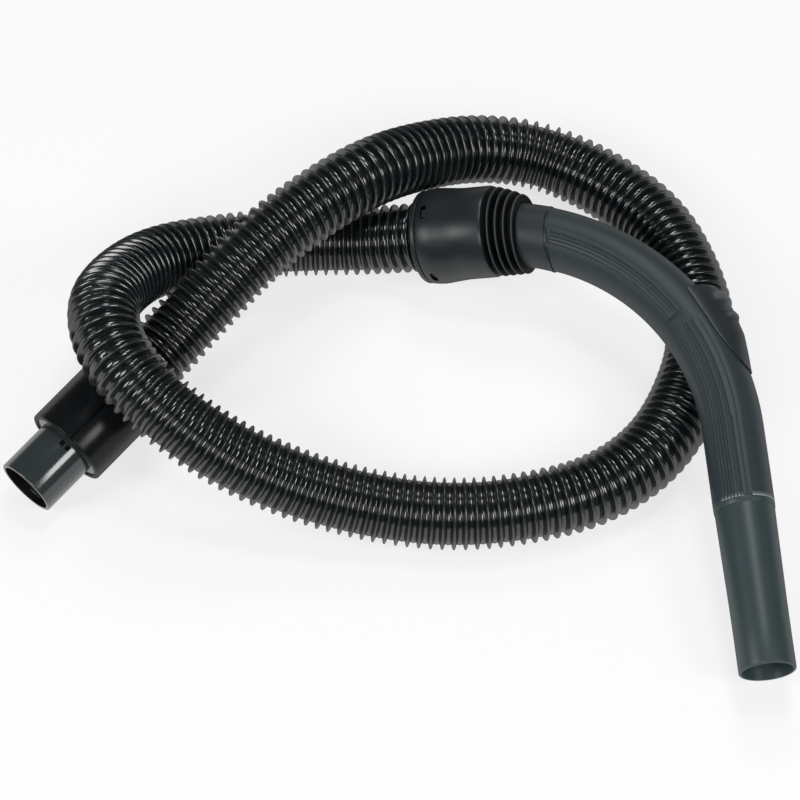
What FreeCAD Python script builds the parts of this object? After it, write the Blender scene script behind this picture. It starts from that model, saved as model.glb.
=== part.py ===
# Suction hose with a bent handle at one end and a machine connector at the other.
# Millimetres, +Z up, the hose lies coiled on the plane z = 0.
import FreeCAD, Part
import math
import os
import Sketcher

V = FreeCAD.Vector
doc = FreeCAD.newDocument("suction_hose")
sheet = doc.addObject("Spreadsheet::Sheet", "dims")

# Every driving size. Lengths are millimetres and angles are degrees.
SIZES = [
    # hose
    ("crest_rad", 20.0), ("rib_high", 3.3), ("hose_wall", 1.2), ("end_drop", 1.0),
    ("rib_count", 198), ("valley_share", 0.44), ("crest_from", 0.64), ("crest_to", 0.80),
    ("end_grip", 31.5), ("end_run", 60.0), ("hose_clear", 0.5),
    # how the handle's bend lies
    ("cuff_x", 9.5), ("cuff_y", 129.4), ("cuff_z", 30.6),
    ("cuff_yaw", -7.0), ("cuff_rise", 15.0), ("cuff_roll", 13.5), ("bend_start", 43.7),
    # how the swivel's axis lies against the bend
    ("swivel_yaw", -10.3), ("swivel_rise", 20.95), ("swivel_roll", 13.5),
    ("meet_angle", 2.24), ("meet_from", -0.1), ("meet_rise", 1.25),
    # swivel cuff
    ("run_gap", 0.3), ("lip_thick", 3.3), ("lip_round", 1.6), ("seat_from", 5.0),
    ("ferrule_wall", 3.6), ("ferrule_length", 39.0), ("end_stop", 2.0), ("stop_clear", 0.1),
    ("groove_from", 7.2), ("groove_width", 3.4), ("groove_deep", 1.6),
    ("seal_thick", 1.5), ("seal_drop", 2.0), ("seal_gap", 0.1),
    ("barrel_wall", 4.8), ("lip_drop", 1.0), ("rear_step", 0.7), ("shoulder_round", 1.0),
    ("shoulder_run", 6.4), ("waist_drop", 1.4), ("waist_run", 21.0),
    ("front_drop", 0.5), ("front_run", 1.6), ("front_hole", 2.2),
    ("flange_thick", 1.5), ("front_wall", 1.6), ("slot_length", 8.7), ("slot_count", 4),
    ("slot_turn", 84.5), ("tab_rise", 3.0), ("tab_play", 0.4), ("tab_root", 0.6), ("clip_split", 0.15),
    # bend relief with its fins
    ("relief_drop", 1.5), ("relief_groove", 1.2),
    ("fin_count", 4), ("fin_first", 3.6), ("fin_pitch", 4.45), ("fin_thick", 1.8),
    ("fin_inset", 1.1), ("fin_drop", 1.2), ("fin_taper", 0.5),
    # elbow tube, air duct, grip and wand
    ("bend_rad", 151.0), ("bend_angle", 81.0), ("grip_rad", 17.7), ("grip_wall", 1.3),
    ("duct_wall", 2.6), ("neck_rise", 0.9), ("neck_end_angle", 15.9), ("neck_socket_angle", 4.9),
    ("socket_play", 0.15), ("ring_wide", 1.8), ("ring_rise", 1.3),
    ("grip_straight", 44.8), ("duct_tail", 24.0), ("socket_depth", 18.0),
    ("socket_wall", 1.4), ("end_ring_width", 3.0), ("end_ring_lip", 0.5),
    ("tip_drop", 0.9), ("wand_land", 30.0), ("wand_reach", 137.5), ("tip_chamfer", 0.8),
    # suction regulator
    ("slider_from", 49.0), ("slider_to", 70.5), ("slider_travel", 8.0),
    ("slider_high", 9.3), ("slider_wide", 13.0), ("slider_narrow", 2.4), ("slider_lift", 0.25),
    ("crown_out", 7.0), ("crown_ease", 2.5),
    ("slot_half", 3.0), ("slot_spare", 0.6), ("slot_over", 0.4),
    ("foot_half", 2.75), ("foot_from", 52.0), ("foot_to", 59.5), ("foot_lift", 0.3),
    ("pad_from", 61.5), ("pad_to", 67.8), ("bleed_from", 63.2), ("bleed_to", 66.8),
    ("bleed_half", 2.0),
    # how the machine end lies
    ("plug_x", -202.4), ("plug_y", -34.9), ("plug_z", 19.35),
    ("plug_yaw", 48.0), ("plug_rise", 8.5), ("plug_roll", 23.0),
    # machine connector
    ("spigot_rad", 17.5), ("spigot_wall", 2.1), ("spigot_length", 33.5),
    ("spigot_chamfer", 0.7), ("plug_wall", 3.3), ("plug_lead", 0.8), ("sleeve_wall", 1.9),
    ("sleeve_length", 50.0), ("sleeve_round", 1.6), ("face_inset", 0.6), ("face_thick", 3.0),
    ("face_play", 0.4), ("front_lip", 0.6), ("hold_thick", 2.0), ("hold_rise", 2.0),
    ("spigot_inner", 10.5), ("rear_lip", 2.5),
    ("plug_seal_rise", 2.5), ("plug_seal_thick", 1.4),
    ("mark_long", 3.2), ("mark_wide", 1.6), ("mark_deep", 0.7), ("mark_back", 2.2), ("mark_spread", 9.0),
]
for row, (alias, value) in enumerate(SIZES, 1):
    sheet.set("A%d" % row, alias)
    sheet.set("B%d" % row, repr(value))
    sheet.setAlias("B%d" % row, alias)
doc.recompute()


class Size:
    """A number from the sheet together with the expression that gives it."""

    def __init__(self, value, text):
        self.value = float(value)
        self.text = text

    def __add__(self, other):
        other = as_size(other)
        return Size(self.value + other.value, "(%s + %s)" % (self.text, other.text))

    def __sub__(self, other):
        other = as_size(other)
        return Size(self.value - other.value, "(%s - %s)" % (self.text, other.text))

    def __mul__(self, other):
        other = as_size(other)
        return Size(self.value * other.value, "(%s * %s)" % (self.text, other.text))

    def __truediv__(self, other):
        other = as_size(other)
        return Size(self.value / other.value, "(%s / %s)" % (self.text, other.text))

    def __neg__(self):
        return Size(-self.value, "(0 - %s)" % self.text)


def as_size(thing):
    if isinstance(thing, Size):
        return thing
    return Size(thing, repr(float(thing)))


def cell(alias):
    return Size(sheet.get(alias), "dims." + alias)


def sine(angle):
    return Size(math.sin(math.radians(angle.value)), "sin(%s * 1 deg)" % angle.text)


def cosine(angle):
    return Size(math.cos(math.radians(angle.value)), "cos(%s * 1 deg)" % angle.text)


def bind(obj, prop, amount):
    """Give a property its size and keep it bound to the sheet."""
    amount = as_size(amount)
    setattr(obj, prop, amount.value)
    if "dims." in amount.text:
        obj.setExpression(prop, amount.text)


def origin_plane(body, role):
    for feature in body.Origin.OriginFeatures:
        if feature.Role == role:
            return feature


def outline(sketch, points):
    """A closed polygon whose corners are bound to the sheet, all in the positive quarter."""
    corners = [(as_size(a), as_size(b)) for a, b in points]
    count = len(corners)
    for i in range(count):
        a, b = corners[i], corners[(i + 1) % count]
        start = V(a[0].value, a[1].value, 0)
        end = V(b[0].value, b[1].value, 0)
        sketch.addGeometry(Part.LineSegment(start, end), False)
    for i in range(count):
        sketch.addConstraint(Sketcher.Constraint("Coincident", i, 2, (i + 1) % count, 1))
    for i, (a, b) in enumerate(corners):
        for kind, amount in (("DistanceX", a), ("DistanceY", b)):
            if abs(amount.value) < 1e-9:
                axis = -2 if kind == "DistanceX" else -1
                sketch.addConstraint(Sketcher.Constraint("PointOnObject", i, 1, axis))
                continue
            index = sketch.addConstraint(Sketcher.Constraint(kind, -1, 1, i, 1, amount.value))
            if "dims." in amount.text:
                sketch.setExpression("Constraints[%d]" % index, amount.text)


def turned(label, points, place):
    """A body turned about its own X axis from a profile in (x, radius)."""
    body = doc.addObject("PartDesign::Body", label)
    body.Label = label
    sketch = body.newObject("Sketcher::SketchObject", label + "_profile")
    sketch.AttachmentSupport = (origin_plane(body, "XY_Plane"), [""])
    sketch.MapMode = "FlatFace"
    outline(sketch, points)
    turn = body.newObject("PartDesign::Revolution", label + "_turn")
    turn.Profile = sketch
    turn.ReferenceAxis = (sketch, ["H_Axis"])
    turn.Angle = 360
    sketch.Visibility = False
    body.Placement = place
    doc.recompute()
    return body


def ring_edges(shape, x, rad):
    """Names of the round edges of a turned body at one station and radius."""
    names = []
    for i, edge in enumerate(shape.Edges, 1):
        curve = edge.Curve
        if isinstance(curve, Part.Circle) and abs(curve.Radius - rad) < 0.02:
            if abs(curve.Center.x - x) < 0.02:
                names.append("Edge%d" % i)
    return names


def eased(body, kind, amount, stations, name):
    """A fillet or chamfer on round edges, given as (x, radius) pairs."""
    last = body.Tip
    names = []
    for x, rad in stations:
        names += ring_edges(last.Shape, as_size(x).value, as_size(rad).value)
    feature = body.newObject("PartDesign::" + kind, name)
    feature.Base = (last, names)
    body.Tip = feature
    bind(feature, "Radius" if kind == "Fillet" else "Size", amount)
    doc.recompute()
    return feature


def joined(name, shapes):
    obj = doc.addObject("Part::MultiFuse", name)
    obj.Shapes = shapes
    return obj


def cut_from(name, base, tool):
    obj = doc.addObject("Part::Cut", name)
    obj.Base = base
    obj.Tool = tool
    return obj


def shared(name, base, tool):
    obj = doc.addObject("Part::Common", name)
    obj.Base = base
    obj.Tool = tool
    return obj


def local(x, y, z, turn=None):
    return FreeCAD.Placement(V(x, y, z), turn or FreeCAD.Rotation())


# The frames of the handle's bend and of the machine end. X runs along each one's axis.
# The bend starts along X and turns towards -Y. The plug's X runs from its mouth to the hose.
cuff_turn = FreeCAD.Rotation(cell("cuff_yaw").value, -cell("cuff_rise").value, cell("cuff_roll").value)
cuff_base = V(cell("cuff_x").value, cell("cuff_y").value, cell("cuff_z").value)
CUFF = FreeCAD.Placement(cuff_base, cuff_turn)
plug_turn = FreeCAD.Rotation(cell("plug_yaw").value, -cell("plug_rise").value, cell("plug_roll").value)
plug_base = V(cell("plug_x").value, cell("plug_y").value, cell("plug_z").value)
PLUG = FreeCAD.Placement(plug_base, plug_turn)

run_gap = cell("run_gap")
bend_rad = cell("bend_rad")
bend_angle = cell("bend_angle")
barrel_rear = cell("lip_thick") + run_gap
ferrule_end = cell("ferrule_length")
elbow_rear = ferrule_end + cell("seal_thick") + cell("seal_gap")
wall_back = elbow_rear + cell("flange_thick")
barrel_front = wall_back + cell("front_wall")
bend_from = cell("bend_start")
hose_room = cell("crest_rad") + cell("hose_clear")
valley_rad = cell("crest_rad") - cell("rib_high")
hose_bore_rad = valley_rad - cell("hose_wall")
hose_end_rad = cell("crest_rad") - cell("end_drop")
stop_rad = hose_bore_rad + cell("stop_clear")
ferrule_rad = hose_end_rad + cell("ferrule_wall")
barrel_bore = ferrule_rad + run_gap
barrel_rad = barrel_bore + cell("barrel_wall")
rear_rad = barrel_rad - cell("lip_drop")
waist_rad = barrel_rad - cell("waist_drop")
groove_rad = ferrule_rad - cell("groove_deep")
grip_rad = cell("grip_rad")
tube_rad = grip_rad - cell("grip_wall")
duct_bore_rad = tube_rad - cell("duct_wall")
neck_rad = grip_rad + cell("neck_rise")
socket_rad = tube_rad - cell("socket_wall")

# The wand's frame starts where the bend ends, with X along the wand.
bend_end = V(
    bend_from.value + bend_rad.value * math.sin(math.radians(bend_angle.value)),
    bend_rad.value * (math.cos(math.radians(bend_angle.value)) - 1),
    0,
)
WAND = CUFF.multiply(FreeCAD.Placement(bend_end, FreeCAD.Rotation(-bend_angle.value, 0, 0)))


def bend_spot(angle):
    """The bend's centre line at an angle, and the rotation that takes Z along it."""
    a = math.radians(angle)
    spot = V(bend_from.value + bend_rad.value * math.sin(a), bend_rad.value * (math.cos(a) - 1), 0)
    return spot, FreeCAD.Rotation(-angle, 90, 0)


# The swivel's frame. Its X passes just outside the bend's line where the neck's flange is.
# It starts at the lip's rear face, so a longer ferrule reaches further back.
swivel_turn = FreeCAD.Rotation(
    cell("swivel_yaw").value, -cell("swivel_rise").value, cell("swivel_roll").value)
swivel_axis = swivel_turn.multVec(V(1, 0, 0))
neck_heart = bend_spot(cell("meet_angle").value)[0]
meeting = CUFF.multVec(neck_heart + V(0, cell("meet_rise").value, 0))
SWIVEL = FreeCAD.Placement(meeting - swivel_axis * (elbow_rear + cell("meet_from")).value, swivel_turn)
SWIVEL_IN_CUFF = CUFF.inverse().multiply(SWIVEL)


def bent(name, rad, start, end):
    """A bent rod of the handle's bend between two angles from where the bend starts."""
    rad, start, end = as_size(rad), as_size(start), as_size(end)
    rod = doc.addObject("Part::Torus", name)
    bind(rod, "Radius1", bend_rad)
    bind(rod, "Radius2", rad)
    rod.Angle1 = -180
    rod.Angle2 = 180
    bind(rod, "Angle3", end - start)
    rod.Placement = local(bend_from.value, -bend_rad.value, 0, FreeCAD.Rotation(90 - end.value, 0, 0))
    rod.setExpression("Placement.Base.x", bend_from.text)
    rod.setExpression("Placement.Base.y", (-bend_rad).text)
    return rod


def cuff_rod(name, rad, start, length):
    """A straight rod on the X axis of its own frame."""
    rod = doc.addObject("Part::Cylinder", name)
    bind(rod, "Radius", rad)
    bind(rod, "Height", length)
    rod.Placement = local(as_size(start).value, 0, 0, FreeCAD.Rotation(0, 90, 0))
    if "dims." in as_size(start).text:
        rod.setExpression("Placement.Base.x", as_size(start).text)
    return rod


def swivel_rod(name, rad, start, length):
    """A straight rod on the swivel's axis, in the bend's frame."""
    rod = doc.addObject("Part::Cylinder", name)
    bind(rod, "Radius", rad)
    bind(rod, "Height", length)
    start = FreeCAD.Placement(V(as_size(start).value, 0, 0), FreeCAD.Rotation(0, 90, 0))
    rod.Placement = SWIVEL_IN_CUFF.multiply(start)
    return rod


def neck_form(name, rad, root_from, end):
    """The neck's round form: a rod on the swivel's axis, a ball where it turns, and the bend."""
    ball = doc.addObject("Part::Sphere", name + "_ball")
    bind(ball, "Radius", rad)
    ball.Placement = FreeCAD.Placement(neck_heart, FreeCAD.Rotation())
    reach = elbow_rear + cell("meet_from").value - root_from
    return joined(name, [
        swivel_rod(name + "_root", rad, root_from, reach + 0.5),
        ball,
        bent(name + "_bend", rad, cell("meet_angle"), end),
    ])


def slab(name, start, end):
    """A block square to the bend's first direction, between two places on its X."""
    start, end = as_size(start), as_size(end)
    block = doc.addObject("Part::Box", name)
    bind(block, "Length", end - start)
    bind(block, "Width", grip_rad * 5)
    bind(block, "Height", grip_rad * 5)
    block.Placement = local(start.value, -grip_rad.value * 2.5, -grip_rad.value * 2.5)
    block.setExpression("Placement.Base.x", start.text)
    return block


def wand_rod(name, rad, start, length):
    """A straight rod on the wand's axis, in the cuff's frame."""
    start = as_size(start)
    rod = doc.addObject("Part::Cylinder", name)
    bind(rod, "Radius", rad)
    bind(rod, "Height", length)
    along = V(math.cos(math.radians(bend_angle.value)), -math.sin(math.radians(bend_angle.value)), 0)
    spot = bend_end + along * start.value
    rod.Placement = FreeCAD.Placement(spot, FreeCAD.Rotation(-bend_angle.value, 90, 0))
    return rod


def bend_sector(name, inner, outer, half, start, end):
    """A block that follows the bend on its outer side, with flat sides half to each side."""
    inner, outer, half = as_size(inner), as_size(outer), as_size(half)
    start, end = as_size(start), as_size(end)
    rods = []
    for tail, reach, spare in (("_far", outer, 0.0), ("_near", inner, 1.0)):
        rod = doc.addObject("Part::Cylinder", name + tail)
        bind(rod, "Radius", bend_rad + reach)
        bind(rod, "Height", half * 2 + 2 * spare)
        bind(rod, "Angle", end - start + 2 * spare)
        rod.Placement = local(
            bend_from.value, -bend_rad.value, -half.value - spare,
            FreeCAD.Rotation(90 - end.value - spare, 0, 0),
        )
        rods.append(rod)
    return cut_from(name, rods[0], rods[1])


# Ferrule on the hose's handle end: lip, body with a groove for the clips, and end stop.
ferrule_handle_end = turned("ferrule_handle_end", [
    (0, hose_room),
    (0, rear_rad),
    (cell("lip_thick"), rear_rad),
    (cell("lip_thick"), ferrule_rad),
    (cell("groove_from"), ferrule_rad),
    (cell("groove_from"), groove_rad),
    (cell("groove_from") + cell("groove_width"), groove_rad),
    (cell("groove_from") + cell("groove_width"), ferrule_rad),
    (ferrule_end, ferrule_rad),
    (ferrule_end, stop_rad),
    (ferrule_end - cell("end_stop"), stop_rad),
    (ferrule_end - cell("end_stop"), hose_end_rad),
    (cell("seat_from"), hose_end_rad),
    (cell("seat_from"), hose_room),
], SWIVEL)
eased(ferrule_handle_end, "Fillet", cell("lip_round"), [(0, rear_rad)], "lip_edge")

# Seal ring on the ferrule's front face, which the handle turns on.
swivel_seal_handle = turned("swivel_seal_handle", [
    (ferrule_end, stop_rad),
    (ferrule_end, ferrule_rad - cell("seal_drop")),
    (ferrule_end + cell("seal_thick"), ferrule_rad - cell("seal_drop")),
    (ferrule_end + cell("seal_thick"), stop_rad + cell("seal_gap") * 10),
], SWIVEL)

# Barrel of the cuff: widest behind its four snap windows, with a slight waist in front of them.
barrel_body = turned("barrel_body", [
    (barrel_rear, barrel_bore),
    (barrel_rear, barrel_rad - cell("rear_step")),
    (barrel_rear + cell("shoulder_run"), barrel_rad),
    (barrel_rear + cell("shoulder_run") * 2, barrel_rad - cell("waist_drop") * 0.35),
    (barrel_rear + cell("waist_run"), waist_rad),
    (barrel_front - cell("front_run"), waist_rad),
    (barrel_front, waist_rad - cell("front_drop")),
    (barrel_front, neck_rad - cell("front_hole")),
    (wall_back, neck_rad - cell("front_hole")),
    (wall_back, barrel_bore),
], SWIVEL)
eased(barrel_body, "Fillet", cell("shoulder_round"),
      [(barrel_rear, barrel_rad - cell("rear_step"))], "shoulder_edge")
slot_sketch = barrel_body.newObject("Sketcher::SketchObject", "slot_sketch")
slot_sketch.AttachmentSupport = (origin_plane(barrel_body, "XY_Plane"), [""])
slot_sketch.MapMode = "FlatFace"
slot_half = cell("slot_length") / 2 - cell("groove_width") / 2
slot_mid = cell("groove_from") + cell("groove_width") / 2
slot_rad = cell("groove_width") / 2
for side in (1, -1):
    centre = V(slot_mid.value, side * slot_half.value, 0)
    normal = V(0, 0, 1)
    circle = Part.Circle(centre, normal, slot_rad.value)
    first, last = (0, math.pi) if side > 0 else (math.pi, 2 * math.pi)
    slot_sketch.addGeometry(Part.ArcOfCircle(circle, first, last), False)
for side in (1, -1):
    x = slot_mid.value + side * slot_rad.value
    slot_sketch.addGeometry(Part.LineSegment(V(x, -slot_half.value, 0), V(x, slot_half.value, 0)), False)
slot_sketch.addConstraint(Sketcher.Constraint("Tangent", 0, 1, 2, 2))
slot_sketch.addConstraint(Sketcher.Constraint("Tangent", 0, 2, 3, 2))
slot_sketch.addConstraint(Sketcher.Constraint("Tangent", 1, 2, 2, 1))
slot_sketch.addConstraint(Sketcher.Constraint("Tangent", 1, 1, 3, 1))
slot_sketch.addConstraint(Sketcher.Constraint("Symmetric", 0, 3, 1, 3, -1))
for kind, geometry, amount in (("Radius", 0, slot_rad), ("DistanceX", None, slot_mid), ("DistanceY", None, slot_half)):
    if kind == "Radius":
        index = slot_sketch.addConstraint(Sketcher.Constraint("Radius", 0, amount.value))
    else:
        index = slot_sketch.addConstraint(Sketcher.Constraint(kind, -1, 1, 0, 3, amount.value))
    slot_sketch.setExpression("Constraints[%d]" % index, amount.text)
slot_cut = barrel_body.newObject("PartDesign::Pocket", "slot_cut")
slot_cut.Profile = slot_sketch
slot_cut.Type = 0
bind(slot_cut, "Length", barrel_rad * 1.1)
slot_cut.Reversed = True
doc.recompute()
slot_row = barrel_body.newObject("PartDesign::PolarPattern", "slot_row")
slot_row.Originals = [slot_cut]
for feature in barrel_body.Origin.OriginFeatures:
    if feature.Role == "X_Axis":
        slot_row.Axis = (feature, [""])
slot_row.Angle = 360
slot_row.Occurrences = int(cell("slot_count").value)
barrel_body.Tip = slot_row
slot_sketch.Visibility = False
doc.recompute()
barrel_turn = SWIVEL.Rotation.multiply(FreeCAD.Rotation(V(1, 0, 0), cell("slot_turn").value))
BARREL = FreeCAD.Placement(SWIVEL.Base, barrel_turn)
barrel_body.Placement = BARREL
barrel_hole = neck_form("barrel_hole", neck_rad, elbow_rear - 4.0, cell("neck_end_angle"))
barrel_hole.Placement = CUFF
swivel_barrel = cut_from("swivel_barrel", barrel_body, barrel_hole)
swivel_barrel.Label = "swivel_barrel"

# Two half clips. They sit in the ferrule's groove and their tabs stand in the barrel's windows.
clip_thick = cell("groove_width") - run_gap * 2
clip_from = cell("groove_from") + run_gap
clip_bore = groove_rad + run_gap
tab_width = cell("slot_length") - cell("groove_width") - cell("tab_play")


def half_clip(name, first):
    ring = cuff_rod(name + "_ring", barrel_bore, clip_from, clip_thick)
    hole = cuff_rod(name + "_hole", clip_bore, clip_from - 1.0, clip_thick + 2.0)
    half = doc.addObject("Part::Box", name + "_half")
    bind(half, "Length", clip_thick + 2.0)
    bind(half, "Width", barrel_rad * 2)
    bind(half, "Height", barrel_rad)
    half.Placement = local(clip_from.value - 1.0, -barrel_rad.value, cell("clip_split").value)
    arch = shared(name + "_arch", cut_from(name + "_band", ring, hole), half)
    pieces = [arch]
    for k in range(2):
        tab = doc.addObject("Part::Box", "%s_tab_%d" % (name, k))
        bind(tab, "Length", clip_thick)
        bind(tab, "Width", tab_width)
        bind(tab, "Height", cell("tab_rise") + cell("tab_root"))
        spin = FreeCAD.Rotation(V(1, 0, 0), 45 - 90 * k)
        reach = spin.multVec(V(0, -tab_width.value / 2, barrel_bore.value - cell("tab_root").value))
        tab.Placement = local(clip_from.value, reach.y, reach.z, spin)
        pieces.append(tab)
    clip = joined(name, pieces)
    clip.Label = name
    turn = BARREL.Rotation.multiply(FreeCAD.Rotation(V(1, 0, 0), first + 45))
    clip.Placement = FreeCAD.Placement(SWIVEL.Base, turn)
    return clip


swivel_clip_upper = half_clip("swivel_clip_upper", 0.0)
swivel_clip_lower = half_clip("swivel_clip_lower", 180.0)

# Bend relief: a tapering core that follows the bend, with thin fins square to the swivel.
across = SWIVEL_IN_CUFF.Rotation.multiply(FreeCAD.Rotation(0, 90, 0))
swivel_way = SWIVEL_IN_CUFF.Rotation.multVec(V(1, 0, 0))


def relief_spot(station, share):
    """The relief's middle at a station of the swivel's axis.

    It lies outside the bend's line, and its way out halves from the first fin to the last.
    """
    low, high = 0.0, 40.0
    for step in range(50):
        mid = (low + high) / 2
        ahead = swivel_way.dot(bend_spot(mid)[0] - SWIVEL_IN_CUFF.Base)
        low, high = (mid, high) if ahead < station else (low, mid)
    spot = bend_spot(mid)[0] + V(0, cell("meet_rise").value * (1 - share / 2), 0)
    return spot - swivel_way * (swivel_way.dot(spot - SWIVEL_IN_CUFF.Base) - station)


fin_count = int(cell("fin_count").value)
fin_stations = [barrel_front + cell("fin_first") + cell("fin_pitch") * k for k in range(fin_count)]
fin_rads = [waist_rad - cell("fin_inset") - cell("fin_drop") * k for k in range(fin_count)]
relief_end = fin_stations[-1] + cell("fin_thick") / 2
relief_rings = []
for name, station, rad, share in (
    ("root", barrel_front, waist_rad - cell("relief_drop"), 0.0),
    ("mid", (barrel_front + relief_end) / 2,
     (waist_rad - cell("relief_drop") + fin_rads[-1] - cell("relief_groove")) / 2, 0.5),
    ("tail", relief_end, fin_rads[-1] - cell("relief_groove"), 1.0),
):
    ring = doc.addObject("Part::Circle", "relief_ring_" + name)
    bind(ring, "Radius", rad)
    ring.Placement = FreeCAD.Placement(relief_spot(station.value, share), across)
    relief_rings.append(ring)
relief_core = doc.addObject("Part::Loft", "relief_core")
relief_core.Sections = relief_rings
relief_core.Solid = True
relief_core.Ruled = True
fins = [relief_core]
for k, (station, rad) in enumerate(zip(fin_stations, fin_rads)):
    fin = doc.addObject("Part::Cone", "fin_%d" % k)
    bind(fin, "Radius1", rad)
    bind(fin, "Radius2", rad - cell("fin_taper"))
    bind(fin, "Height", cell("fin_thick"))
    middle = relief_spot(station.value, k / max(fin_count - 1, 1))
    fin.Placement = FreeCAD.Placement(middle - swivel_way * (cell("fin_thick").value / 2), across)
    fins.append(fin)
relief_blank = joined("relief_blank", fins)
relief_hole = neck_form("relief_hole", neck_rad, elbow_rear - 4.0, cell("neck_end_angle") + 4.0)
fin_collar = cut_from("fin_collar", relief_blank, relief_hole)
fin_collar.Label = "fin_collar"
fin_collar.Placement = CUFF

# Elbow tube: rear flange and thick neck, with a socket that takes the duct of the bend.
# The neck ends square to the bend's first direction, like the seam ring and the grip on it.
neck_end = cell("neck_end_angle")
duct_from = neck_end - cell("neck_socket_angle")
seam_from = bend_from + bend_rad * sine(neck_end)
seam_to = seam_from + cell("ring_wide")
seam_spread = Size(4.5, "4.5")
neck_blank = joined("neck_blank", [
    swivel_rod("neck_flange", ferrule_rad, elbow_rear, cell("flange_thick")),
    neck_form("neck_outer", neck_rad, elbow_rear, neck_end + seam_spread),
])
neck_room = doc.addObject("Part::Box", "neck_room")
bind(neck_room, "Length", elbow_rear + bend_rad)
bind(neck_room, "Width", ferrule_rad * 4)
bind(neck_room, "Height", ferrule_rad * 4)
neck_room.Placement = SWIVEL_IN_CUFF.multiply(
    local(elbow_rear.value, -ferrule_rad.value * 2, -ferrule_rad.value * 2))
neck_solid = cut_from("neck_solid", shared("neck_trimmed", neck_blank, neck_room),
                      slab("neck_stop", seam_from, seam_from + 30.0))
neck_bore = joined("neck_bore", [
    neck_form("bore_form", duct_bore_rad, elbow_rear - 1.0, duct_from),
    bent("neck_socket", tube_rad + cell("socket_play"), duct_from, neck_end + seam_spread + 1.0),
])
elbow_tube = cut_from("elbow_tube", neck_solid, neck_bore)
elbow_tube.Label = "elbow_tube"
elbow_tube.Placement = CUFF


# Air duct of the bend: two half shells, joined along the plane of the bend, with the bleed hole.
def duct_half(name, side):
    solid = joined(name + "_solid", [
        bent(name + "_bend", tube_rad, duct_from, bend_angle),
        wand_rod(name + "_tail", tube_rad, 0, cell("duct_tail")),
    ])
    hollow = joined(name + "_hollow", [
        bent(name + "_bore", duct_bore_rad, duct_from - 0.5, bend_angle),
        wand_rod(name + "_tail_bore", duct_bore_rad, 0, cell("duct_tail") + 1.0),
        wand_rod(name + "_socket", socket_rad, cell("duct_tail") - cell("socket_depth"),
                 cell("socket_depth") + 1.0),
        bend_sector(name + "_bleed", duct_bore_rad - 1.5, tube_rad + 1.0,
                    cell("bleed_half"), cell("bleed_from"), cell("bleed_to")),
    ])
    room = doc.addObject("Part::Box", name + "_side")
    bind(room, "Length", bend_rad + cell("duct_tail") + grip_rad * 3)
    bind(room, "Width", bend_rad + cell("duct_tail") + grip_rad * 3)
    bind(room, "Height", grip_rad * 2)
    low = 0.0 if side > 0 else -grip_rad.value * 2
    room.Placement = local(bend_from.value - grip_rad.value, grip_rad.value * 2 - room.Width.Value, low)
    half = shared(name, cut_from(name + "_tube", solid, hollow), room)
    half.Label = name
    half.Placement = CUFF
    return half


duct_half_upper = duct_half("duct_half_upper", 1)
duct_half_lower = duct_half("duct_half_lower", -1)

# Seam ring between the neck and the grip.
grip_front_ring = shared(
    "grip_front_ring",
    cut_from(
        "seam_ring_tube",
        bent("seam_ring_outer", grip_rad + cell("ring_rise"), neck_end - 5.0, neck_end + 6.0),
        bent("seam_ring_inner", tube_rad, neck_end - 5.5, neck_end + 6.5),
    ),
    slab("seam_slab", seam_from, seam_to),
)
grip_front_ring.Label = "grip_front_ring"
grip_front_ring.Placement = CUFF

# Grip: one sleeve over the tube, parted along the middle of the bend into two shells.
split_far = grip_rad * 3.4


def grip_sleeve(name):
    solid = joined(name + "_solid", [
        bent(name + "_bend", grip_rad, neck_end - 5.0, bend_angle),
        wand_rod(name + "_tail", grip_rad, 0, cell("grip_straight")),
    ])
    hollow = joined(name + "_hollow", [
        bent(name + "_bore", tube_rad, neck_end - 5.5, bend_angle),
        wand_rod(name + "_tail_bore", tube_rad, 0, cell("grip_straight") + 1.0),
    ])
    return cut_from(name, cut_from(name + "_tube", solid, hollow),
                    slab(name + "_stop", seam_to - 40.0, seam_to))


def inside_of_bend(name):
    disc = doc.addObject("Part::Cylinder", name + "_disc")
    bind(disc, "Radius", bend_rad)
    bind(disc, "Height", split_far)
    bind(disc, "Angle", bend_angle)
    disc.Placement = local(bend_from.value, -bend_rad.value, -split_far.value / 2,
                           FreeCAD.Rotation(90 - bend_angle.value, 0, 0))
    block = doc.addObject("Part::Box", name + "_block")
    bind(block, "Length", cell("grip_straight") + 5.0)
    bind(block, "Width", split_far)
    bind(block, "Height", split_far)
    turn = FreeCAD.Rotation(-bend_angle.value, 0, 0)
    corner = bend_end + turn.multVec(V(0, -split_far.value, -split_far.value / 2))
    block.Placement = FreeCAD.Placement(corner, turn)
    return joined(name, [disc, block])


grip_inner_shell = shared("grip_inner_shell", grip_sleeve("inner_sleeve"), inside_of_bend("inner_side"))
grip_inner_shell.Label = "grip_inner_shell"
grip_inner_shell.Placement = CUFF
grip_half = cut_from("grip_half", grip_sleeve("outer_sleeve"), inside_of_bend("outer_side"))
slot_from = cell("foot_from") - cell("slider_travel") - cell("slot_spare")
slot_to = cell("pad_to") + cell("slot_over")
slider_slot = bend_sector("slider_slot", tube_rad - 2.0, grip_rad + 2.0,
                          cell("slot_half"), slot_from, slot_to)
grip_outer_shell = cut_from("grip_outer_shell", grip_half, slider_slot)
grip_outer_shell.Label = "grip_outer_shell"
grip_outer_shell.Placement = CUFF

# End ring of the grip, with a small step down to the wand.
grip_end_ring = turned("grip_end_ring", [
    (cell("grip_straight"), tube_rad),
    (cell("grip_straight"), grip_rad),
    (cell("grip_straight") + cell("end_ring_width"), grip_rad - cell("end_ring_lip")),
    (cell("grip_straight") + cell("end_ring_width"), tube_rad),
], WAND)

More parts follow.
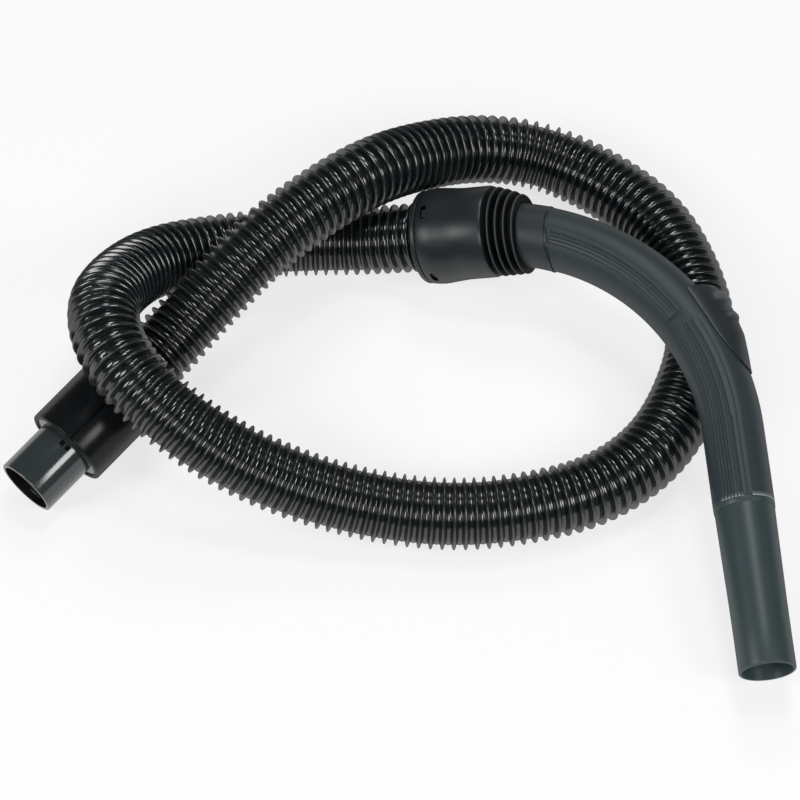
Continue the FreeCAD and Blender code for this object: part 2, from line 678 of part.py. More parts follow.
# Wand: it plugs into the elbow tube, tapers and ends in a straight land for a floor tool.
ring_front = cell("grip_straight") + cell("end_ring_width")
wand_tube = turned("wand_tube", [
    (cell("duct_tail") - cell("socket_depth"), duct_bore_rad),
    (cell("duct_tail") - cell("socket_depth"), socket_rad),
    (cell("duct_tail"), socket_rad),
    (cell("duct_tail"), tube_rad),
    (ring_front, tube_rad),
    (cell("wand_reach") - cell("wand_land"), (tube_rad - cell("tip_drop"))),
    (cell("wand_reach"), (tube_rad - cell("tip_drop"))),
    (cell("wand_reach"), duct_bore_rad),
], WAND)
eased(wand_tube, "Chamfer", cell("tip_chamfer"), [(cell("wand_reach"), (tube_rad - cell("tip_drop")))], "tip_chamfer_edge")

# Suction regulator: a thumb slider that rides the outside of the bend over the bleed hole.
slider_profile = [
    (0.0, -0.18), (0.014, 0.83), (0.074, 1.0), (0.214, 0.99), (0.307, 0.785), (0.419, 0.903),
    (0.474, 0.774), (0.651, 0.602), (0.819, 0.344), (1.0, 0.086), (1.0, -0.18),
]
slider_sketch = doc.addObject("Sketcher::SketchObject", "slider_sketch")
corner_list = []
for share, height in slider_profile:
    angle = cell("slider_from") + (cell("slider_to") - cell("slider_from")) * share
    away = bend_rad + grip_rad + cell("slider_high") * height
    corner_list.append((bend_from + away * sine(angle), away * cosine(angle)))
outline(slider_sketch, corner_list)
slider_side = doc.addObject("Part::Extrusion", "slider_side")
slider_side.Base = slider_sketch
slider_side.DirMode = "Normal"
slider_side.Solid = True
slider_side.Symmetric = True
bind(slider_side, "LengthFwd", cell("slider_wide") * 3)
slider_side.Placement = local(0, -bend_rad.value, 0)
slider_side.setExpression("Placement.Base.y", (-bend_rad).text)
slider_mid = (cell("slider_from") + cell("slider_to")) / 2
crown = doc.addObject("Part::Torus", "slider_crown")
bind(crown, "Radius1", bend_rad + cell("crown_out"))
bind(crown, "Radius2", grip_rad + cell("crown_ease"))
crown.Angle1 = -180
crown.Angle2 = 180
crown.Angle3 = 60
crown.Placement = local(bend_from.value, -bend_rad.value, 0, FreeCAD.Rotation(90 - slider_mid.value - 30, 0, 0))
half_span = math.radians((cell("slider_to").value - cell("slider_from").value) / 2)
plan_reach = (bend_rad.value + grip_rad.value) * math.sin(half_span)
plan = doc.addObject("Part::Wedge", "slider_plan")
plan.Xmin = 0
plan.X2min = 0
bind(plan, "Xmax", grip_rad * 3.4)
bind(plan, "X2max", grip_rad * 3.4)
plan.Ymin = -plan_reach
plan.Ymax = plan_reach * 1.1
bind(plan, "Zmax", cell("slider_narrow"))
bind(plan, "Zmin", -cell("slider_narrow"))
bind(plan, "Z2max", cell("slider_wide"))
bind(plan, "Z2min", -cell("slider_wide"))
mid_turn = FreeCAD.Rotation(90 - slider_mid.value, 0, 0)
plan_spot = V(bend_from.value, -bend_rad.value, 0) + mid_turn.multVec(V(bend_rad.value, 0, 0))
plan.Placement = FreeCAD.Placement(plan_spot, mid_turn)
slider_blank = shared("slider_blank", shared("slider_crowned", slider_side, crown), plan)
slider_saddle = bent("slider_saddle", grip_rad + cell("slider_lift"),
                     cell("slider_from") - 3.0, cell("slider_to") + 3.0)
slider_top = cut_from("slider_top", slider_blank, slider_saddle)
slider_foot = bend_sector("slider_foot", tube_rad + cell("foot_lift"), grip_rad + 2.0,
                          cell("foot_half"), cell("foot_from"), cell("foot_to"))
suction_slider = joined("suction_slider", [slider_top, slider_foot])
suction_slider.Label = "suction_slider"
suction_slider.Placement = CUFF

# Sealing pad under the slider. It closes the bleed hole at rest.
pad_block = bend_sector("pad_block", tube_rad + cell("foot_lift"), grip_rad + 2.0,
                        cell("foot_half"), cell("pad_from"), cell("pad_to"))
slider_seal = shared("slider_seal", pad_block, bent("pad_limit", grip_rad + cell("slider_lift"),
                                                    cell("pad_from") - 1.0, cell("pad_to") + 1.0))
slider_seal.Label = "slider_seal"
slider_seal.Placement = CUFF

# Machine connector. Stations run from the spigot's mouth.
rim = cell("spigot_length")
face = rim + cell("face_inset")
face_back = face + cell("face_thick")
hold_back = face_back + cell("hold_thick")
sleeve_end = rim + cell("sleeve_length")
lip_front = sleeve_end - cell("rear_lip")
spigot_end = rim + cell("spigot_inner")
plug_ferrule_from = spigot_end + cell("seal_gap") + cell("plug_seal_thick")
plug_seat_from = plug_ferrule_from + cell("end_stop")
plug_ferrule_to = lip_front - run_gap

spigot_bore_rad = cell("spigot_rad") - cell("spigot_wall")
plug_ferrule_rad = hose_end_rad + cell("plug_wall")
sleeve_bore_rad = plug_ferrule_rad + run_gap
sleeve_rad = sleeve_bore_rad + cell("sleeve_wall")
face_rad = sleeve_bore_rad - cell("face_play")

machine_spigot = turned("machine_spigot", [
    (0, spigot_bore_rad),
    (0, cell("spigot_rad")),
    (face, cell("spigot_rad")),
    (face, face_rad),
    (face_back, face_rad),
    (face_back, cell("spigot_rad")),
    (spigot_end, cell("spigot_rad")),
    (spigot_end, spigot_bore_rad),
], PLUG)
eased(machine_spigot, "Chamfer", cell("spigot_chamfer"), [(0, cell("spigot_rad"))], "mouth_chamfer")


def spigot_pocket(name, turn_angle):
    """A shallow latch mark on top of the spigot, close to the round face."""
    sketch = machine_spigot.newObject("Sketcher::SketchObject", name + "_sketch")
    sketch.AttachmentSupport = (origin_plane(machine_spigot, "XY_Plane"), [""])
    sketch.MapMode = "FlatFace"
    lift = cell("spigot_rad") - cell("mark_deep")
    sketch.AttachmentOffset = FreeCAD.Placement(V(0, 0, 0), FreeCAD.Rotation(V(1, 0, 0), turn_angle))
    low = face - cell("mark_long") - cell("mark_back")
    outline(sketch, [(low, lift), (low, lift + 4.0), (low + cell("mark_long"), lift + 4.0),
                     (low + cell("mark_long"), lift)])
    pocket = machine_spigot.newObject("PartDesign::Pocket", name)
    pocket.Profile = sketch
    pocket.Type = 0
    pocket.Midplane = True
    bind(pocket, "Length", cell("mark_wide"))
    sketch.Visibility = False
    machine_spigot.Tip = pocket
    doc.recompute()


before = machine_spigot.Shape.Volume
spigot_pocket("mark_one", 90 + cell("mark_spread").value)
spigot_pocket("mark_two", 90 - cell("mark_spread").value)
print("spigot marks take", round(before - machine_spigot.Shape.Volume, 2), "mm3")


def sleeve_half(label, keep_far):
    """Half of the connector's sleeve, parted along a plane through its axis."""
    body = turned(label, [
        (rim, face_rad - cell("front_lip")),
        (rim, sleeve_rad),
        (sleeve_end, sleeve_rad),
        (sleeve_end, hose_room),
        (lip_front, hose_room),
        (lip_front, sleeve_bore_rad),
        (hold_back, sleeve_bore_rad),
        (hold_back, cell("spigot_rad") + cell("hold_rise")),
        (face_back, cell("spigot_rad") + cell("hold_rise")),
        (face_back, face_rad),
        (face, face_rad),
        (face, face_rad - cell("front_lip")),
    ], PLUG)
    eased(body, "Fillet", cell("sleeve_round"),
          [(rim, sleeve_rad), (sleeve_end, sleeve_rad)], label + "_round")
    sketch = body.newObject("Sketcher::SketchObject", label + "_parting")
    sketch.AttachmentSupport = (origin_plane(body, "XZ_Plane"), [""])
    sketch.MapMode = "FlatFace"
    spare = cell("spigot_rad")
    low = rim - spare
    high = sleeve_end + spare
    tall = sleeve_rad + spare
    corners = [(low, -tall), (high, -tall), (high, tall), (low, tall)]
    for i in range(4):
        a, b = corners[i], corners[(i + 1) % 4]
        sketch.addGeometry(Part.LineSegment(V(a[0].value, a[1].value, 0), V(b[0].value, b[1].value, 0)), False)
    for i in range(4):
        sketch.addConstraint(Sketcher.Constraint("Coincident", i, 2, (i + 1) % 4, 1))
    for i, (a, b) in enumerate(corners):
        for kind, amount in (("DistanceX", a), ("DistanceY", b)):
            index = sketch.addConstraint(Sketcher.Constraint(kind, -1, 1, i, 1, amount.value))
            sketch.setExpression("Constraints[%d]" % index, amount.text)
    whole = body.Shape.Volume
    cut = body.newObject("PartDesign::Pocket", label + "_cut")
    cut.Profile = sketch
    cut.Type = 0
    bind(cut, "Length", sleeve_rad + spare)
    cut.Reversed = keep_far
    sketch.Visibility = False
    body.Tip = cut
    doc.recompute()
    print(label, "keeps", round(body.Shape.Volume / whole, 4), "of the sleeve")
    return body


sleeve_half_left = sleeve_half("sleeve_half_left", False)
sleeve_half_right = sleeve_half("sleeve_half_right", True)

ferrule_machine_end = turned("ferrule_machine_end", [
    (plug_ferrule_from, stop_rad),
    (plug_ferrule_from, plug_ferrule_rad),
    (plug_ferrule_to, plug_ferrule_rad),
    (plug_ferrule_to, hose_end_rad),
    (plug_seat_from, hose_end_rad),
    (plug_seat_from, stop_rad),
], PLUG)
eased(ferrule_machine_end, "Chamfer", cell("plug_lead"),
      [(plug_ferrule_from, plug_ferrule_rad)], "plug_ferrule_lead")
swivel_seal_machine = turned("swivel_seal_machine", [
    (plug_ferrule_from - cell("plug_seal_thick"), stop_rad),
    (plug_ferrule_from - cell("plug_seal_thick"), cell("spigot_rad") + cell("plug_seal_rise")),
    (plug_ferrule_from, cell("spigot_rad") + cell("plug_seal_rise")),
    (plug_ferrule_from, stop_rad),
], PLUG)

# The hose's way, from the machine end to the cuff, chosen by hand from the photograph.
LAID = [
    (-103, 74, 48), (-74, 103, 60), (-42, 129, 66), (-12, 155, 63), (16, 179, 46),
    (50, 196, 31), (87, 198, 22), (124, 179, 20), (155, 149, 21), (172, 108, 20),
    (178, 66, 20), (166, 24, 20), (146, -12, 21), (114, -36, 20), (76, -48, 21),
    (36, -52, 20), (-5, -48, 22), (-46, -41, 31), (-86, -31, 47), (-121, -15, 66),
    (-149, 11, 79), (-160, 46, 77), (-155, 82, 58), (-135, 113, 37), (-99, 129, 22),
    (-60, 135.5, 20),
]
plug_axis = PLUG.Rotation.multVec(V(1, 0, 0))
hose_start = PLUG.Base + plug_axis * plug_seat_from.value
hose_end = SWIVEL.Base + swivel_axis * (ferrule_end.value - cell("end_stop").value)
route = [hose_start, hose_start + plug_axis * cell("end_run").value]
route += [V(*spot) for spot in LAID]
route += [hose_end - swivel_axis * cell("end_run").value, hose_end]

# Straight runs joined by tangent arcs. Each arc takes 0.45 of its shorter run.
stretches = []
radii = []
at = route[0]
for k in range(1, len(route) - 1):
    back = route[k - 1] - route[k]
    ahead = route[k + 1] - route[k]
    setback = 0.45 * min(back.Length, ahead.Length)
    back.normalize()
    ahead.normalize()
    turn = math.pi - back.getAngle(ahead)
    radius = setback / math.tan(turn / 2)
    radii.append(round(radius, 1))
    first = route[k] + back * setback
    last = route[k] + ahead * setback
    inward = (back + ahead).normalize()
    centre = route[k] + inward * math.hypot(radius, setback)
    stretches.append(("line", at, first, None, 0.0))
    stretches.append(("arc", first, last, centre, turn))
    at = last
stretches.append(("line", at, route[-1], None, 0.0))
print("hose radii", radii)


def stretch_length(stretch):
    kind, a, b, centre, turn = stretch
    return (b - a).Length if kind == "line" else (a - centre).Length * turn


hose_length = sum(stretch_length(s) for s in stretches)
print("hose length", round(hose_length, 1))


def on_hose(distance):
    """Point and direction of the hose's centre line at a distance from its start."""
    for stretch in stretches:
        span = stretch_length(stretch)
        if distance <= span or stretch is stretches[-1]:
            break
        distance -= span
    kind, a, b, centre, turn = stretch
    if kind == "line":
        way = (b - a).normalize()
        return a + way * distance, way
    arm = a - centre
    radius = arm.Length
    axis = arm.cross(b - centre).normalize()
    spin = FreeCAD.Rotation(axis, math.degrees(distance / radius))
    arm = spin.multVec(arm)
    return centre + arm, axis.cross(arm).normalize()


# Outer skin: each rib is four circles, set square to the hose with a steady X axis.
stations = [(0.0, hose_end_rad.value), (cell("end_grip").value, hose_end_rad.value)]
ribbed_from = cell("end_grip").value + 1.0
ribbed_to = hose_length - cell("end_grip").value - 1.0
rib_count = int(cell("rib_count").value)
pitch = (ribbed_to - ribbed_from) / (rib_count + cell("valley_share").value)
for k in range(rib_count):
    start = ribbed_from + k * pitch
    stations.append((start, valley_rad.value))
    stations.append((start + cell("valley_share").value * pitch, valley_rad.value))
    stations.append((start + cell("crest_from").value * pitch, cell("crest_rad").value))
    stations.append((start + cell("crest_to").value * pitch, cell("crest_rad").value))
stations.append((ribbed_from + rib_count * pitch, valley_rad.value))
stations.append((ribbed_to, valley_rad.value))
stations.append((hose_length - cell("end_grip").value, hose_end_rad.value))
stations.append((hose_length, hose_end_rad.value))
print("rib pitch", round(pitch, 3))


def skin(rows):
    """Circles along the hose, with the X axis carried on from one to the next."""
    wires = []
    side = V(0, 0, 1)
    for distance, rad in rows:
        spot, way = on_hose(distance)
        side = side - way * side.dot(way)
        side.normalize()
        circle = Part.Circle(spot, way, rad)
        circle.XAxis = side
        wires.append(Part.Wire([circle.toShape()]))
    return wires


ribbed = Part.makeLoft(skin(stations), True, True)
bore_edges = []
for kind, a, b, centre, turn in stretches:
    if kind == "line":
        bore_edges.append(Part.LineSegment(a, b).toShape())
    else:
        arm = (a - centre) + (b - centre)
        arm.normalize()
        bore_edges.append(Part.Arc(a, centre + arm * (a - centre).Length, b).toShape())
bore_path = Part.Wire(bore_edges)
first_ring = Part.Wire([Part.Circle(route[0], plug_axis, hose_bore_rad.value).toShape()])
bore = bore_path.makePipeShell([first_ring], True, False)
hose_shape = ribbed.cut(bore)
bore_share = bore.Volume / (math.pi * hose_bore_rad.value ** 2 * hose_length)
print("bore volume over section times length", round(bore_share, 5))
hose = doc.addObject("Part::Feature", "hose")
hose.Label = "hose"
hose.Shape = hose_shape
hose.Placement = local(0, 0, 0)
doc.recompute()

# Least gap between strands of the hose that pass each other.
walk = [on_hose(k * pitch)[0] for k in range(int(hose_length / pitch))]
least = min((walk[i] - walk[j]).Length for i in range(len(walk)) for j in range(i + 18, len(walk)))
print("least gap between strands", round(least - 2 * cell("crest_rad").value, 2))

NODES = [
    hose, ferrule_handle_end, ferrule_machine_end, swivel_seal_handle, swivel_seal_machine,
    swivel_barrel, swivel_clip_upper, swivel_clip_lower, fin_collar, elbow_tube,
    duct_half_upper, duct_half_lower,
    grip_front_ring, grip_outer_shell, grip_inner_shell, grip_end_ring, wand_tube,
    suction_slider, slider_seal, machine_spigot, sleeve_half_left, sleeve_half_right,
]
doc.recompute()
faulty = [obj.Label for obj in doc.Objects if "Invalid" in obj.State or "Error" in obj.State]
if faulty:
    raise RuntimeError("failed objects: %s" % faulty)
for node in NODES:
    shape = node.Shape
    if shape.isNull() or not shape.isValid() or not shape.Solids:
        raise RuntimeError("bad shape: " + node.Label)
os.makedirs("parts", exist_ok=True)
for node in NODES:
    node.Shape.exportStep(os.path.join("parts", node.Label + ".step"))
    box = node.Shape.BoundBox
    print("%-20s solids %d volume %9.1f box %s" % (
        node.Label, len(node.Shape.Solids), node.Shape.Volume,
        [round(v, 1) for v in (box.XMin, box.YMin, box.ZMin, box.XMax, box.YMax, box.ZMax)]))
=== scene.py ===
import bisect
import math

import bmesh
import bpy
from mathutils import Matrix, Vector


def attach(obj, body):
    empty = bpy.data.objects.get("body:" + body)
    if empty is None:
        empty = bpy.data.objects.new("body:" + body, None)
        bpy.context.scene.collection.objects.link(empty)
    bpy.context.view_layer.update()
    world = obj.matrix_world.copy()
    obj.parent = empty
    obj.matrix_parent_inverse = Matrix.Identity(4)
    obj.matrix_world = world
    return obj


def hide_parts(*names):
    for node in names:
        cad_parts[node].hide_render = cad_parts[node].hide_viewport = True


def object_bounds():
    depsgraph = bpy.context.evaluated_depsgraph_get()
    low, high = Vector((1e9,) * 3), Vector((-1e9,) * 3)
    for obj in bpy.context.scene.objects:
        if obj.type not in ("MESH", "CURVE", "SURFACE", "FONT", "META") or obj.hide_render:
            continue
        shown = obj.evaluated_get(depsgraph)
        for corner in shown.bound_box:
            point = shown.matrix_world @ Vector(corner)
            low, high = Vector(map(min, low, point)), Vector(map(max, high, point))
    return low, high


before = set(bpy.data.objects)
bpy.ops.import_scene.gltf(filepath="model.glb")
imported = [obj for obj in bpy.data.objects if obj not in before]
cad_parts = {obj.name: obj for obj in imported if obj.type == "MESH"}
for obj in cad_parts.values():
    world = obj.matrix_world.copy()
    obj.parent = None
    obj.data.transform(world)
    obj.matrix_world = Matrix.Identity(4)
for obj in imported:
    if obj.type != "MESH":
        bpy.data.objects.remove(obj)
cad_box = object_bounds()

# Camera and lamps. The hose lies on a white table and is seen from above the near edge, at
# 56 degrees, through a long lens. Small soft boxes stand round it and one hangs above it.
stage = bpy.context.scene
stage.view_settings.view_transform = "Standard"
lens = bpy.data.cameras.new("camera")
lens.lens = 150.5
lens.sensor_width = 36.0
lens.clip_end = 40.0
camera = bpy.data.objects.new("camera", lens)
camera.location = (0.005, -1.0245, 1.5752)
camera.rotation_euler = (math.radians(34.0), 0.0, 0.0)
stage.collection.objects.link(camera)
stage.camera = camera

LAMP_REACH = 2.3


def soft_box(name, round_turn, height, size, power):
    """A square lamp that faces the table's middle. Its place is two angles in degrees."""
    light = bpy.data.lights.new(name, "AREA")
    light.shape = "SQUARE"
    light.size = size
    light.energy = power
    box = bpy.data.objects.new(name, light)
    turn, lift = math.radians(round_turn), math.radians(height)
    box.location = Vector((math.cos(turn) * math.cos(lift), math.sin(turn) * math.cos(lift),
                           math.sin(lift))) * LAMP_REACH
    box.rotation_euler = (-box.location).to_track_quat("-Z", "Y").to_euler()
    stage.collection.objects.link(box)


soft_box("box_front", 262.0, 43.0, 0.8, 14.0)
soft_box("box_right", 322.0, 41.0, 0.7, 14.0)
soft_box("box_left", 205.0, 38.0, 0.8, 16.0)
soft_box("box_top", 60.0, 78.0, 0.5, 10.0)
soft_box("box_back", 85.0, 52.0, 0.5, 9.0)


class Wire:
    """A socket of a material or of the world. Arithmetic on it adds Math nodes."""

    def __init__(self, tree, socket=None):
        self.tree = tree
        self.socket = socket

    def add(self, kind, settings, sockets, output=0):
        """A node of any kind: its settings come first, then its sockets' values or links."""
        node = self.tree.nodes.new(kind)
        for key, value in settings.items():
            setattr(node, key, value)
        for key, value in sockets.items():
            if isinstance(value, Wire):
                self.tree.links.new(value.socket, node.inputs[key])
            else:
                node.inputs[key].default_value = value
        return Wire(self.tree, node.outputs[output])

    def into(self, node, socket):
        """Link this wire to a node's socket."""
        self.tree.links.new(self.socket, node.inputs[socket])

    def reckon(self, operation, one, two=0.0):
        """A Math node on two values, each a number or a wire."""
        return self.add("ShaderNodeMath", {"operation": operation}, {0: one, 1: two})

    def __add__(self, other):
        return self.reckon("ADD", self, other)

    def __radd__(self, other):
        return self.reckon("ADD", other, self)

    def __sub__(self, other):
        return self.reckon("SUBTRACT", self, other)

    def __rsub__(self, other):
        return self.reckon("SUBTRACT", other, self)

    def __mul__(self, other):
        return self.reckon("MULTIPLY", self, other)

    def __rmul__(self, other):
        return self.reckon("MULTIPLY", other, self)

    def blend(self, one, two):
        """A colour between two, with this wire as the share of the second."""
        return self.add("ShaderNodeMix", {"data_type": "RGBA"}, {0: self, 6: one, 7: two}, 2)


ROOM_LIGHT = 0.10
room = bpy.data.worlds.new("room")
stage.world = room
room.use_nodes = True
room.node_tree.nodes.clear()
air = Wire(room.node_tree)
seen = air.add("ShaderNodeLightPath", {}, {}, "Is Camera Ray")
sky = air.add("ShaderNodeBackground", {}, {
    "Color": (1.0, 1.0, 1.0, 1.0), "Strength": ROOM_LIGHT + seen * (1 - ROOM_LIGHT)})
sky.into(room.node_tree.nodes.new("ShaderNodeOutputWorld"), "Surface")

# Table. A white matt sheet, larger than the picture. It shows white to the camera and in
# gloss, and keeps part of the shadow that the object throws on it.
TABLE_HALF = 4.0
TABLE_BELOW = 0.0003
TABLE_GLOW = 0.72
table_bm = bmesh.new()
bmesh.ops.create_grid(table_bm, x_segments=1, y_segments=1, size=TABLE_HALF)
table_mesh = bpy.data.meshes.new("table")
table_bm.to_mesh(table_mesh)
table_bm.free()
table = bpy.data.objects.new("table", table_mesh)
table.location = (0.0, 0.0, cad_box[0][2] - TABLE_BELOW)
stage.collection.objects.link(table)
table_white = bpy.data.materials.new("table_white")
table_white.use_nodes = True
table_white.node_tree.nodes.clear()
sheet = Wire(table_white.node_tree)
camera_ray = sheet.add("ShaderNodeLightPath", {}, {}, "Is Camera Ray")
gloss_ray = sheet.add("ShaderNodeLightPath", {}, {}, "Is Glossy Ray")
matt = sheet.add("ShaderNodeBsdfDiffuse", {}, {"Color": (0.96, 0.965, 0.965, 1.0)})
glow = sheet.add("ShaderNodeEmission", {}, {"Color": (1.0, 1.0, 1.0, 1.0), "Strength": 1.0})
share = (camera_ray + gloss_ray) * TABLE_GLOW
both = sheet.add("ShaderNodeMixShader", {}, {0: share, 1: matt, 2: glow})
both.into(table_white.node_tree.nodes.new("ShaderNodeOutputMaterial"), "Surface")
table_mesh.materials.append(table_white)

# Hose. Blow-moulded black polyethylene: tall ribs, a low round bead between each two, and plain
# ends that sit in the ferrules. It follows a spline on the points of the part's own route, some
# of them moved up to 4 mm to lie as in the photograph. Its first and last runs leave the ferrules.
HOSE_ROUTE = [
    (-0.17097, 0.00001, 0.02637), (-0.13126, 0.04411, 0.03524), (-0.103, 0.074, 0.048),
    (-0.074, 0.103, 0.060), (-0.042, 0.129, 0.066), (-0.0113, 0.1538, 0.063),
    (0.0165, 0.1780, 0.046), (0.050, 0.196, 0.031), (0.087, 0.198, 0.022),
    (0.124, 0.179, 0.020), (0.155, 0.149, 0.021), (0.172, 0.108, 0.020),
    (0.178, 0.066, 0.020), (0.166, 0.024, 0.020), (0.146, -0.012, 0.021),
    (0.114, -0.036, 0.020), (0.076, -0.048, 0.021), (0.036, -0.052, 0.020),
    (-0.005, -0.0485, 0.022), (-0.0465, -0.0417, 0.031), (-0.0865, -0.0317, 0.047),
    (-0.1216, -0.0153, 0.066), (-0.1502, 0.0107, 0.079), (-0.1606, 0.0458, 0.077),
    (-0.1525, 0.0792, 0.058), (-0.1340, 0.1100, 0.037), (-0.099, 0.129, 0.022),
    (-0.060, 0.1355, 0.020), (-0.00122, 0.13527, 0.02099), (0.05391, 0.12525, 0.04244),
]
line_data = bpy.data.curves.new("hose_line", "CURVE")
line_data.dimensions = "3D"
line_data.resolution_u = 48
spline = line_data.splines.new("NURBS")
spline.points.add(len(HOSE_ROUTE) - 1)
for point, spot in zip(spline.points, HOSE_ROUTE):
    point.co = (*spot, 1.0)
spline.order_u = 3
spline.use_endpoint_u = True
line_object = bpy.data.objects.new("hose_line", line_data)
line_mesh = bpy.data.meshes.new_from_object(line_object)
hose_line = [v.co.copy() for v in line_mesh.vertices]
bpy.data.objects.remove(line_object)
bpy.data.meshes.remove(line_mesh)
reach = [0.0]
for one, two in zip(hose_line, hose_line[1:]):
    reach.append(reach[-1] + (two - one).length)
hose_length = reach[-1]


def along_hose(distance):
    """Point and direction of the hose's middle at a distance from its machine end."""
    k = min(max(bisect.bisect_right(reach, distance) - 1, 0), len(reach) - 2)
    share = (distance - reach[k]) / (reach[k + 1] - reach[k])
    ahead = hose_line[min(k + 2, len(hose_line) - 1)] - hose_line[k]
    behind = hose_line[k + 1] - hose_line[max(k - 1, 0)]
    return hose_line[k].lerp(hose_line[k + 1], share), behind.lerp(ahead, share).normalized()


HOSE_CREST = 0.0200
HOSE_VALLEY = 0.0167
HOSE_PLAIN = 0.0190
HOSE_BORE = 0.0155
HOSE_RIBS = 198
HOSE_GRIPPED = 0.0315
HOSE_STEP = 0.001
LAST_VALLEY = 0.4
HOSE_ROUND = 38
BORE_RINGS = 120
# A low bead and then a rib: places as shares of the pitch, and rises as shares of a rib's height.
RIB_SHAPE = [(0.06, 0.11), (0.20, 0.17), (0.34, 0.11), (0.44, 0.02), (0.50, 0.22), (0.565, 0.68),
             (0.625, 0.94), (0.70, 1.0), (0.775, 0.94), (0.835, 0.68), (0.90, 0.22), (0.96, 0.02)]
# Each ring: its distance along the hose, its radius and its rise. The bore's rings come back.
hose_rings = [(0.0, HOSE_PLAIN, 0.5), (HOSE_GRIPPED, HOSE_PLAIN, 0.5)]
rib_pitch = (hose_length - 2 * HOSE_GRIPPED - 2 * HOSE_STEP) / (HOSE_RIBS + LAST_VALLEY)
for k in range(HOSE_RIBS):
    for share, rise in RIB_SHAPE:
        place = HOSE_GRIPPED + HOSE_STEP + (k + share) * rib_pitch
        hose_rings.append((place, HOSE_VALLEY + (HOSE_CREST - HOSE_VALLEY) * rise, rise))
hose_rings.append((hose_length - HOSE_GRIPPED - HOSE_STEP, HOSE_VALLEY, 0.0))
hose_rings.append((hose_length - HOSE_GRIPPED, HOSE_PLAIN, 0.5))
hose_rings.append((hose_length, HOSE_PLAIN, 0.5))
for k in range(BORE_RINGS + 1):
    hose_rings.append((hose_length * (1 - k / BORE_RINGS), HOSE_BORE, 0.0))

hose_bm = bmesh.new()
bmesh.ops.create_grid(hose_bm, x_segments=len(hose_rings), y_segments=HOSE_ROUND, size=0.5)
# Each ring's rise is kept in a layer that paints the crests paler than the valleys, as highlight and shade.
rise_layer = hose_bm.verts.layers.float.new("rise")
# The direction to the side of each ring follows from the one before it, so the hose has no twist.
hose_frames = []
side = Vector((0, 0, 1))
for place, radius, rise in hose_rings:
    spot, way = along_hose(place)
    side = (side - way * side.dot(way)).normalized()
    hose_frames.append((spot, side.copy(), way.cross(side), radius, rise))
hose_frames.append(hose_frames[0])
for vert in hose_bm.verts:
    turn = (vert.co.y + 0.5) * 2 * math.pi
    spot, one, two, radius, rise = hose_frames[round((vert.co.x + 0.5) * len(hose_rings))]
    vert.co = spot + (one * math.cos(turn) + two * math.sin(turn)) * radius
    vert[rise_layer] = rise
bmesh.ops.remove_doubles(hose_bm, verts=hose_bm.verts, dist=0.00001)


CLOUD_SCALE = 38.0
CLOUD_GLOSS = 0.07
FINE_SCALE = 420.0
FINE_GLOSS = 0.05
ASLANT_ROUGH = 0.85
COAT_ROUGH = 0.12


def moulded(name, colour, rough, grain=0.0, depth=0.0, drift=0.12, coat=0.0, shine=0.5, layer=None,
            layer_colour=None):
    """A moulded plastic: grain in its surface, and slow drifts of its tone and its gloss.

    Seen along the surface, the grain shows and the gloss goes soft. Where a layer of the mesh
    is named, the tone goes to another colour as the layer rises.
    """
    material = bpy.data.materials.new(name)
    material.use_nodes = True
    shader = material.node_tree.nodes["Principled BSDF"]
    wire = Wire(material.node_tree)
    place = wire.add("ShaderNodeTexCoord", {}, {}, "Object")
    cloud = wire.add("ShaderNodeTexNoise", {}, {
        "Vector": place, "Scale": CLOUD_SCALE, "Detail": 4.0, "Roughness": 0.6})
    fine = wire.add("ShaderNodeTexNoise", {}, {
        "Vector": place, "Scale": FINE_SCALE, "Detail": 3.0, "Roughness": 0.7})
    dark = tuple(c * (1 - drift) for c in colour) + (1.0,)
    pale = tuple(c * (1 + drift) for c in colour) + (1.0,)
    tone = cloud.blend(dark, pale)
    aslant = wire.add("ShaderNodeLayerWeight", {}, {"Blend": 0.5}, "Facing")
    gloss = rough - (CLOUD_GLOSS + FINE_GLOSS) / 2 + cloud * CLOUD_GLOSS + fine * FINE_GLOSS
    gloss = gloss + aslant * aslant * aslant * (ASLANT_ROUGH - rough)
    if layer:
        height = wire.add("ShaderNodeAttribute", {"attribute_name": layer}, {}, "Fac")
        tone = height.blend(tone, (*layer_colour, 1.0))
    tone.into(shader, "Base Color")
    gloss.into(shader, "Roughness")
    shader.inputs["Specular IOR Level"].default_value = shine
    shader.inputs["Coat Weight"].default_value = coat
    shader.inputs["Coat Roughness"].default_value = COAT_ROUGH
    if depth:
        pits = wire.add("ShaderNodeTexNoise", {}, {
            "Vector": place, "Scale": grain, "Detail": 2.0, "Roughness": 0.5})
        bump = wire.add("ShaderNodeBump", {}, {"Strength": 0.5, "Distance": depth, "Height": pits})
        bump.into(shader, "Normal")
    return material


def fitted(bm, name, materials, body, slot, *nodes, corner=38.0):
    """Make a shape a piece of the object, smooth but for edges that turn past the corner.

    The corner is in degrees. The nodes are the part's own solids that the piece stands for.
    """
    bmesh.ops.recalc_face_normals(bm, faces=bm.faces)
    for face in bm.faces:
        face.smooth = True
    for edge in bm.edges:
        edge.smooth = edge.calc_face_angle(0.0) < math.radians(corner)
    mesh = bpy.data.meshes.new(name)
    bm.to_mesh(mesh)
    bm.free()
    for material in materials:
        mesh.materials.append(material)
    piece = bpy.data.objects.new(name, mesh)
    stage.collection.objects.link(piece)
    if nodes:
        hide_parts(*nodes)
    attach(piece, body)
    return piece


# Painted highlight and shade: the rise layer turns the ribs' crests paler than the valleys between them.
hose_gloss = moulded("hose_gloss_black", (0.0035, 0.0048, 0.0052), 0.16, shine=0.9, layer="rise",
                     layer_colour=(0.013, 0.0175, 0.0195))
hose = fitted(hose_bm, "hose_ribbed", [hose_gloss], "hose_line", "hose_black", "hose", corner=75.0)

# Ferrule of the cuff. A matt black nylon sleeve, pushed on the hose's plain end. Its round lip
# shows behind the barrel, and the barrel turns on the rest of it.


